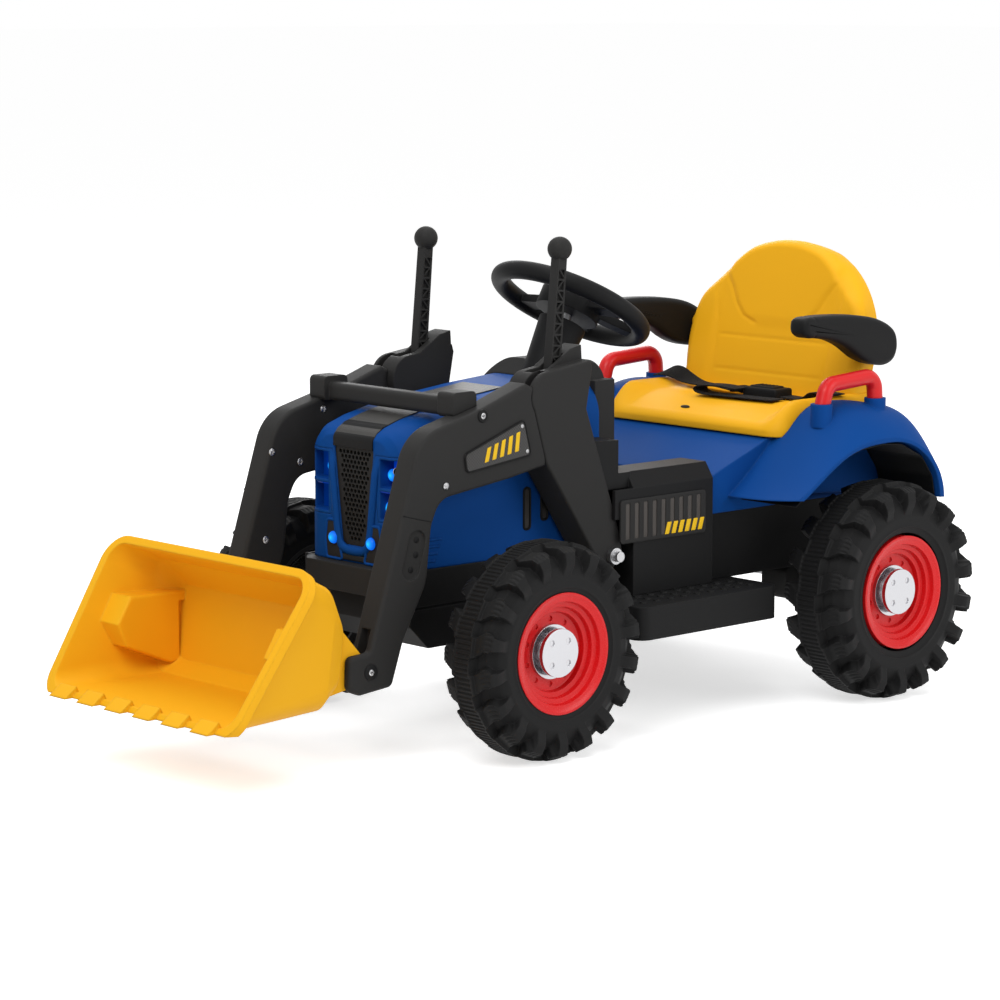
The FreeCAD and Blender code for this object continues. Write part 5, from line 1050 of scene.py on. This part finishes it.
@dataclass
class SeatPan:
    """Moulded seat pan with a rolled front, raised sides and a finger slot, whose hollow is a black plate of painted
    shade.
    """

    half_width: float = 0.173
    front: float = 0.362
    rear: float = 0.568
    low: float = 0.358
    top: float = 0.396
    corner: float = 0.030
    lip: float = 0.012
    ramp: float = 0.095
    side_ramp: float = 0.045
    side_rise: float = 0.010
    side_width: float = 0.046
    edge_drop: float = 0.012
    dish_depth: float = 0.003
    slot: Point = (-0.0285, 0.3865, 0.3812)
    slot_half: Pair = (0.0085, 0.0034)
    slot_slope: Pair = (0.893, 0.45)

    def build(self) -> None:
        """The pan, in place of the plain seat base, and a thin black plate on it as the painted shade of its slot."""
        Workshop.piece("moulded_seat_pan", self.pan(), Finish.YELLOW, "chassis", "yellow_shell",
                       ("seat_base",), 55.0)
        t = np.linspace(0, TAU, 28, endpoint=False)
        outline = np.stack((np.cos(t), np.sin(t)), axis=1) * self.slot_half
        run, rise = self.slot_slope
        along = np.array((0.0, run, rise))
        # Painted shade: a black plate stands for the dark hollow of the finger slot.
        hole_shade = slab(outline, lambda p: np.asarray(self.slot) + p[:, :1] * np.array(OUT_X) + p[:, 1:] * along,
                    (0.0, -rise, run), 0.0016, 0.0005)
        Workshop.piece("seat_slot_shade", hole_shade, Finish.BLACK, "chassis", "black_plastic")

    def pan(self) -> Patch:
        """Closed pan: at each x a loop runs along the bottom, up the rolled front, over the top and down the rear.

        The front's height is a quarter-round lip and then a ramp along a quarter sine, shorter at the sides. The
        top rises to the sides, and its outer edge and the front corners in plan are quarter circles.

        Returns:
            The pan in the object's frame.
        """
        x = self.half_width * np.sin(np.linspace(-math.pi / 2, math.pi / 2, 90))
        over = np.clip(np.abs(x) - (self.half_width - self.corner), 0, self.corner)
        start = self.front + self.corner - np.sqrt(self.corner ** 2 - over ** 2)
        share = np.concatenate((np.linspace(0, 0.3, 22) ** 1.6, np.linspace(0.16, 1.0, 26)))
        y = start[:, None] + (self.rear - start)[:, None] * share[None]
        near_side = step_up(np.abs(x), self.half_width - self.side_width, self.half_width - 0.012)
        into = y - start[:, None]
        lip = np.sqrt(1 - (1 - np.clip(into / self.lip, 0, 1)) ** 2)
        length = self.ramp + (self.side_ramp - self.ramp) * near_side
        ramp = np.sin(np.clip(into / length[:, None], 0, 1) * math.pi / 2)
        side = self.side_rise * near_side
        drop = self.edge_drop * (1 - np.sqrt(1 - np.clip((np.abs(x) - self.half_width + 0.010) / 0.0101, 0, 1) ** 2))
        dish = self.dish_depth * (1 - step_up(np.abs(x), 0.06, 0.14))[:, None] * step_up(y, 0.41, 0.50)
        height = self.top + side - drop - self.low
        z = self.low + 0.006 + (self.lip - 0.004) * lip + (height[:, None] - self.lip - 0.002) * ramp - dish
        upper = np.stack((np.broadcast_to(x[:, None], y.shape), y, z), axis=-1)
        lower = upper[:, ::-1] * (1.0, 1.0, 0.0) + np.array((0.0, 0.0, self.low))
        return capped(np.concatenate((upper, lower), axis=1))


@dataclass
class ArchLiner:
    """Black liners inside the rear wheel arches."""

    inner_x: float = 0.1632
    outer_x: float = 0.2650
    line: tuple[Pair, ...] = (
        (0.300, 0.2800), (0.324, 0.2958), (0.358, 0.3170), (0.391, 0.3350), (0.428, 0.3460), (0.472, 0.3495),
        (0.512, 0.3466), (0.5565, 0.3252), (0.5790, 0.2955), (0.5845, 0.2700))
    thickness: float = 0.0012

    def build(self) -> None:
        """A bent sheet in each arch: the arch's line carried along X."""
        line = resampled(np.asarray(self.line), 60)
        path = at_x(line, 0.0)
        down = np.cross(OUT_X, heading(path))
        down *= np.where(down[:, 2:] > 0, -1.0, 1.0)
        strip = np.array(((self.inner_x, 0.0), (self.outer_x, 0.0), (self.outer_x, self.thickness),
                          (self.inner_x, self.thickness)))
        Workshop.piece("arch_liners", both([carry(path, OUT_X, down, strip)]), Finish.BLACK, "chassis",
                       "black_plastic")


@dataclass
class SideTrim:
    """Trim of the slotted side panels and the hood's vents."""

    panel_x: float = 0.1685
    slot_x: float = 0.16725
    slots: tuple[float, float, int] = (0.071, 0.221, 9)
    slot_low: float = 0.248
    slot_high: float = 0.296
    slot_half: float = 0.0040
    bar_start: float = 0.148
    bar_pitch: float = 0.0125
    bar_count: int = 6
    bar_width: float = 0.0075
    bar_slant: float = 0.0050
    bar_z: Pair = (0.2480, 0.2640)
    vent_x: float = 0.1040
    vents: tuple[Pair, ...] = ((-0.043, 0.0272), (-0.012, 0.0176))
    vent_z: float = 0.295
    vent_half: float = 0.0045
    ribs: tuple[Pair, ...] = ((-0.190, 0.2710), (-0.194, 0.2620), (-0.197, 0.2530), (-0.201, 0.2435))

    def build(self) -> None:
        """Mesh in the slots, slanted bars on the panel and frames round the vents."""
        start, end, count = self.slots
        pitch = (end - start) / count
        strips, bars = [], []
        for y in start + pitch * (np.arange(count) + 0.5):
            outline = box_outline((y - self.slot_half, self.slot_low), (y + self.slot_half, self.slot_high), 0.0022, 4)
            strips.append(slab(outline, on_plane(self.slot_x), OUT_X, 0.0005, 0.0002))
        low, high = self.bar_z
        for y in self.bar_start + self.bar_pitch * np.arange(self.bar_count):
            corners = ((y, low), (y + self.bar_width, low), (y + self.bar_width + self.bar_slant, high),
                       (y + self.bar_slant, high))
            bars.append(printed_bar(corners, self.panel_x))
        for name, parts, finish, slot in (
                ("panel_mesh", strips, Finish.MESH, "grey_plastic"),
                ("panel_bars", bars, Finish.PRINT, "grey_plastic"),
                ("vent_frames", [self.frame(*vent) for vent in self.vents], Finish.BLACK, "black_plastic"),
                ("hood_ribs", [self.rib(*rib) for rib in self.ribs], Finish.BLUE, "blue_shell")):
            Workshop.piece(name, both(parts), finish, "chassis", slot)

    def rib(self, end: float, z: float) -> Patch:
        """Low rib along the hood's side near the nose: a half-round profile that follows the side inwards."""
        y = np.linspace(-0.2160, end, 20)
        x = np.interp(y, (-0.218, -0.205, -0.190), (0.0995, 0.1011, 0.1018)) - 0.0003
        path = np.stack((x, y, np.full(20, z)), axis=1)
        return carry(path, UP, OUT_X, half_round(0.0046, 0.0019))

    def frame(self, y: float, half: float) -> Patch:
        """Raised rim round one vent: a half-round profile on a long rounded loop."""
        w = self.vent_half + 0.0010
        outline = box_outline((y - w, self.vent_z - half), (y + w, self.vent_z + half), 0.0052, 8)
        return rim(at_x(resampled(outline, 90, True), self.vent_x - 0.0004), OUT_X, 0.0036, 0.0024)


@dataclass
class Belt:
    """Lap belt: two woven straps laid over the seat."""

    half_width: float = 0.0145
    thickness: float = 0.0018
    left: tuple[Point, ...] = ((0.172, 0.484, 0.4085), (0.150, 0.484, 0.4093), (0.133, 0.482, 0.4085),
                               (0.124, 0.480, 0.4025), (0.115, 0.479, 0.3985), (0.095, 0.480, 0.3978),
                               (0.064, 0.481, 0.3985))
    right: tuple[Point, ...] = ((-0.172, 0.480, 0.4110), (-0.155, 0.480, 0.4160), (-0.138, 0.481, 0.4150),
                                (-0.120, 0.482, 0.4085), (-0.100, 0.483, 0.4030), (-0.075, 0.484, 0.4015),
                                (-0.050, 0.482, 0.4025), (-0.020, 0.481, 0.4000), (0.006, 0.481, 0.3985))
    tail: tuple[Point, ...] = ((0.098, 0.442, 0.3978), (0.050, 0.439, 0.3975), (0.000, 0.436, 0.3975),
                               (-0.034, 0.434, 0.3980), (-0.046, 0.434, 0.4035), (-0.034, 0.435, 0.4090),
                               (-0.006, 0.440, 0.4100), (0.020, 0.450, 0.4065))
    twist: float = 0.50
    buckle: tuple[float, float, float, float] = (0.002, 0.078, 0.458, 0.494)
    seat: float = 0.3966

    def build(self) -> None:
        """Both straps and the loose tail, replacing the plain ones, and the buckle."""
        straps = [self.strap(np.asarray(way)) for way in (self.left, self.right, self.tail)]
        made = Workshop.piece("lap_belt", join(straps), Finish.STRAP, "chassis", "webbing",
                              ("belt_webbing",))
        Workshop.uv(made, (0, 1))
        Workshop.piece("release_buckle", self.clasp(), Finish.BLACK, "chassis", "black_plastic",
                       ("belt_buckle",))

    def clasp(self) -> Patch:
        """Side-release buckle: stacked plates with rounded edges, two prongs and a row of grip ribs."""
        x0, x1, y0, y1 = self.buckle
        parts = []
        for low, high, front, rear, base, tall, edge in (
                (x0 + 0.012, x1, y0, y1, 0.0, 0.0125, 0.0035),
                (x0 + 0.020, x1 - 0.010, y0 + 0.006, y1 - 0.006, 0.0120, 0.0028, 0.0016),
                (x0 - 0.010, x0 + 0.013, y0 + 0.002, y0 + 0.011, 0.0028, 0.0065, 0.0025),
                (x0 - 0.010, x0 + 0.013, y1 - 0.011, y1 - 0.002, 0.0028, 0.0065, 0.0025),
                (x0 - 0.016, x0 - 0.006, y0 + 0.002, y1 - 0.002, 0.0022, 0.0075, 0.0025)):
            outline = box_outline((low, front), (high, rear), 0.0035, 5)
            parts.append(slab(outline, self._level(self.seat + base), UP, tall, edge))
        for x in np.linspace(x0 + 0.028, x1 - 0.020, 5):
            path = np.stack((np.full(12, x), np.linspace(y0 + 0.010, y1 - 0.010, 12),
                             np.full(12, self.seat + 0.0146)), axis=1)
            parts.append(carry(path, OUT_X, UP, half_round(0.0030, 0.0012)))
        return join(parts)

    def _level(self, z: float) -> Callable[[Array], Array]:
        """Turns (x, y) into points at height z."""
        return lambda flat: np.column_stack((flat, np.full(len(flat), z)))

    def strap(self, knots: Array) -> Patch:
        """Flat section with rounded edges carried along a smooth line through the knots, rolled where it arches."""
        ends = np.concatenate((2 * knots[:1] - knots[1:2], knots, 2 * knots[-1:] - knots[-2:-1]))
        line = spans(ends[:-3], ends[1:-2], ends[2:-1], ends[3:], 10)
        path = resampled(np.concatenate((line, knots[-1:])), 90)
        roll = self.twist * np.exp(-((path[:, 0] + 0.140) / 0.030) ** 2)
        across = np.stack((np.zeros(len(path)), np.cos(roll), np.sin(roll)), axis=1)
        up = np.cross(across, heading(path))
        w, h = self.half_width, self.thickness / 2
        return carry(path, across, up, box_outline((-w, -h), (w, h), h, 4))


@dataclass
class Tyre:
    """A treaded tyre: ribbed centre band, staggered slanted lugs and a ringed sidewall."""

    node: str
    body: str
    lug_count: int = 18
    rib_count: int = 140
    around: int = 840
    rib_depth: float = 0.0015
    lug_half: float = 0.0135
    lug_taper: float = 0.0045
    hatch_pitch: float = 0.0068
    hatch_depth: float = 0.0012
    ring_share: float = 0.90
    ring_rise: float = 0.0016
    band_half: float = 0.20
    carcass: tuple[Pair, ...] = ((0.0, 0.930), (0.20, 0.905), (0.31, 0.872), (0.40, 0.79),
                                                (0.445, 0.70), (0.44, 0.62), (0.40, 0.545))
    tread: tuple[Pair, ...] = ((0.0, 0.972), (0.15, 0.972), (0.36, 0.96), (0.48, 0.925),
                                              (0.5, 0.85), (0.485, 0.745), (0.40, 0.545))

    def build(self) -> None:
        """The tyre, in place of its plain node."""
        low, high = (np.asarray(corner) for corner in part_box(self.node))
        centre = (low + high) / 2
        width, radius = high[0] - low[0], (high[2] - low[2]) / 2
        side = 1.0 if centre[0] > 0 else -1.0
        half = self.half_surface(width, radius, 0.0)
        other = self.half_surface(width, radius, 0.5).mirrored()
        whole = join((half, other))
        whole = whole if side > 0 else whole.mirrored()
        Workshop.piece("treaded_" + self.node, whole.moved(centre), Finish.TYRE, self.body,
                       "tyre_plastic", (self.node,), 50.0)

    def half_surface(self, width: float, radius: float, shift: float) -> Patch:
        """Outer half of the tyre from its middle plane to the bead.

        A point lies between the carcass line and the lug line at the same share of their runs. The blend is 1 on
        a lug and 0 between lugs, with smooth flanks; the lug's middle drifts round the wheel towards the shoulder.
        The centre band stands at full radius with grooves across it between two plain edges.

        Args:
            width: tyre width.
            radius: tyre radius.
            shift: how far the lugs are turned, in lug pitches.

        Returns:
            The half surface, about the origin, with X along the axle.
        """
        share = np.concatenate((np.linspace(0, 0.30, 20), np.linspace(0.31, 1.0, 37)))
        base, crown = self._line(self.carcass, share), self._line(self.tread, share)
        angle = np.arange(self.around) * TAU / self.around
        u = crown[:, 0:1]
        pitch = TAU / self.lug_count
        drift = (-0.014 + 0.060 * np.minimum(u, 0.37) - 0.030 * np.clip(u - 0.42, 0, 1)) / radius
        turn = (angle[None] - drift) / pitch - shift
        off = np.abs(turn - np.round(turn)) * pitch * radius
        wide = self.lug_half - self.lug_taper * step_up(u, 0.42, 0.50)
        lug = 1 - step_up(off, wide - 0.0004, wide + 0.0014)
        lug *= 1 - step_up(share[:, None], 0.68, 0.75)
        beat = (turn - np.round(turn)) * pitch * radius / self.hatch_pitch * TAU
        hatch = step_up(0.5 - 0.5 * np.cos(beat), 0.55, 0.9)
        hatch *= step_up(u, 0.33, 0.35) * (1 - step_up(u, 0.46, 0.48))
        flat = base[:, None] + (crown - base)[:, None] * lug[..., None]
        axial, out = flat[..., 0] * width, flat[..., 1] * radius
        out = out - self.hatch_depth * hatch * lug
        band = 1 - step_up(np.broadcast_to(u, lug.shape), self.band_half - 0.004, self.band_half + 0.012)
        rib = 0.5 + 0.5 * np.cos(angle * self.rib_count)
        inside = 1 - step_up(u, self.band_half - 0.045, self.band_half - 0.035)
        groove = self.rib_depth * step_up(rib, 0.35, 0.8)[None] * inside + 0.0008 * inside
        out = out * (1 - band) + (radius - groove) * band
        ring = np.exp(-((share[:, None] - self.ring_share) / 0.014) ** 2)
        axial = axial + self.ring_rise * ring
        points = np.stack((axial, out * np.sin(angle), out * np.cos(angle)), axis=-1)
        inner = np.stack((np.zeros_like(out[:1]), out[-1:] * np.sin(angle), out[-1:] * np.cos(angle)), axis=-1)
        return grid(np.concatenate((points, inner)), wrap_columns=True)

    def _line(self, knots: Sequence[Pair], share: Array) -> Array:
        """Points at shares of the run along a line of knots."""
        line = np.asarray(knots)
        run = np.concatenate(([0.0], np.cumsum(np.linalg.norm(np.diff(line, axis=0), axis=1))))
        return np.stack([np.interp(share * run[-1], run, line[:, k]) for k in range(2)], axis=1)


class Wheels:
    """The four dressed tyres."""

    def build(self) -> None:
        """One tyre on each wheel body."""
        for end in ("front", "rear"):
            for side in Side:
                Tyre("tyre_%s_%s" % (end, side.word), "wheel_%s_%s" % (end, side.word)).build()


@dataclass(frozen=True)
class Lamp:
    """A round area light: where it stands, where it points, how wide and how strong it is."""

    name: str
    place: Point
    aim: Point
    size: float
    power: float

    def build(self) -> None:
        """Add the light, turned so that its -Z axis points at its aim."""
        data = bpy.data.lights.new(self.name, "AREA")
        data.shape, data.size, data.energy = "DISK", self.size, self.power
        made = bpy.data.objects.new(self.name, data)
        made.location = self.place
        way = np.asarray(self.aim) - np.asarray(self.place)
        made.rotation_euler = (math.acos(-way[2] / np.linalg.norm(way)), 0.0, math.atan2(way[1], way[0]) - QUARTER)
        bpy.context.scene.collection.objects.link(made)


@dataclass
class Studio:
    """Pale floor, soft lights and the camera."""

    camera_place: Point = (3.3597, -3.07375, 0.9722)
    azimuth: float = 47.50
    elevation: float = 8.513
    lens: float = 123.97
    floor_half: float = 60.0
    lamps: tuple[Lamp, ...] = (
        Lamp("key", (1.6, -2.6, 3.2), (0.0, 0.0, 0.25), 2.6, 88.0),
        Lamp("fill", (3.4, 1.6, 1.6), (0.0, 0.1, 0.3), 2.4, 44.0),
        Lamp("top", (-0.6, 0.4, 3.6), (0.0, 0.1, 0.3), 2.8, 55.0),
        Lamp("back", (-2.6, 2.2, 1.8), (0.0, 0.2, 0.4), 1.8, 30.0))

    def build(self) -> None:
        """Everything round the object."""
        self.camera()
        self.floor()
        for lamp in self.lamps:
            lamp.build()
        self.world()
        bpy.context.scene.view_settings.view_transform = "Standard"

    def camera(self) -> None:
        """Camera at the photograph's angle."""
        data = bpy.data.cameras.new("camera")
        data.lens = self.lens
        data.sensor_width = 36.0
        data.sensor_fit = "HORIZONTAL"
        data.clip_end = 200.0
        made = bpy.data.objects.new("camera", data)
        made.location = self.camera_place
        made.rotation_euler = (math.radians(90 - self.elevation), 0.0, math.radians(self.azimuth))
        bpy.context.scene.collection.objects.link(made)
        bpy.context.scene.camera = made

    def floor(self) -> None:
        """Large plain floor that looks white where nothing shades it."""
        mesh = bpy.data.meshes.new("floor")
        h = self.floor_half
        mesh.from_pydata([(-h, -h, 0), (h, -h, 0), (h, h, 0), (-h, h, 0)], [], [(0, 1, 2, 3)])
        made = bpy.data.objects.new("floor", mesh)
        bpy.context.scene.collection.objects.link(made)
        paint = Material("floor_paint", 0.9)
        paint.set("Base Color", (0.80, 0.80, 0.80, 1.0))
        paint.set("Specular IOR Level", 0.0)
        rays = paint.node("ShaderNodeLightPath")
        seen = paint.math("MAXIMUM", rays.outputs["Is Camera Ray"], rays.outputs["Is Glossy Ray"])
        paint.feed(paint.mix(seen, (0.0, 0.0, 0.0), (0.63, 0.63, 0.63)), "Emission Color")
        paint.set("Emission Strength", 1.0)
        mesh.materials.append(paint.data)

    def world(self) -> None:
        """White surroundings for what the camera sees, and a plainer level for light."""
        world = bpy.data.worlds.new("studio")
        bpy.context.scene.world = world
        world.use_nodes = True
        tree = world.node_tree
        back = tree.nodes["Background"]
        rays = add_node(tree, "ShaderNodeLightPath")
        seen = math_node(tree, "MAXIMUM", rays.outputs["Is Camera Ray"], rays.outputs["Is Glossy Ray"])
        seen = math_node(tree, "MAXIMUM", seen, rays.outputs["Is Transmission Ray"])
        level = math_node(tree, "MULTIPLY_ADD", seen, 0.55, 0.45)
        back.inputs["Color"].default_value = (1.0, 1.0, 1.0, 1.0)
        tree.links.new(level, back.inputs["Strength"])


def main() -> None:
    """Build the studio, the finishes and every dressed piece, and note the sizes."""
    logging.basicConfig(level=logging.INFO, format="%(name)s: %(message)s")
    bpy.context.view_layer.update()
    Studio().build()
    CadDress().dress()
    for assembly in (Nose(), LoaderTrim(), SideTrim(), SeatPan(), SeatBack(), Armrests(), ArchLiner(), Belt(),
                     Wheels()):
        assembly.build()


if __name__ == "__main__":
    main()
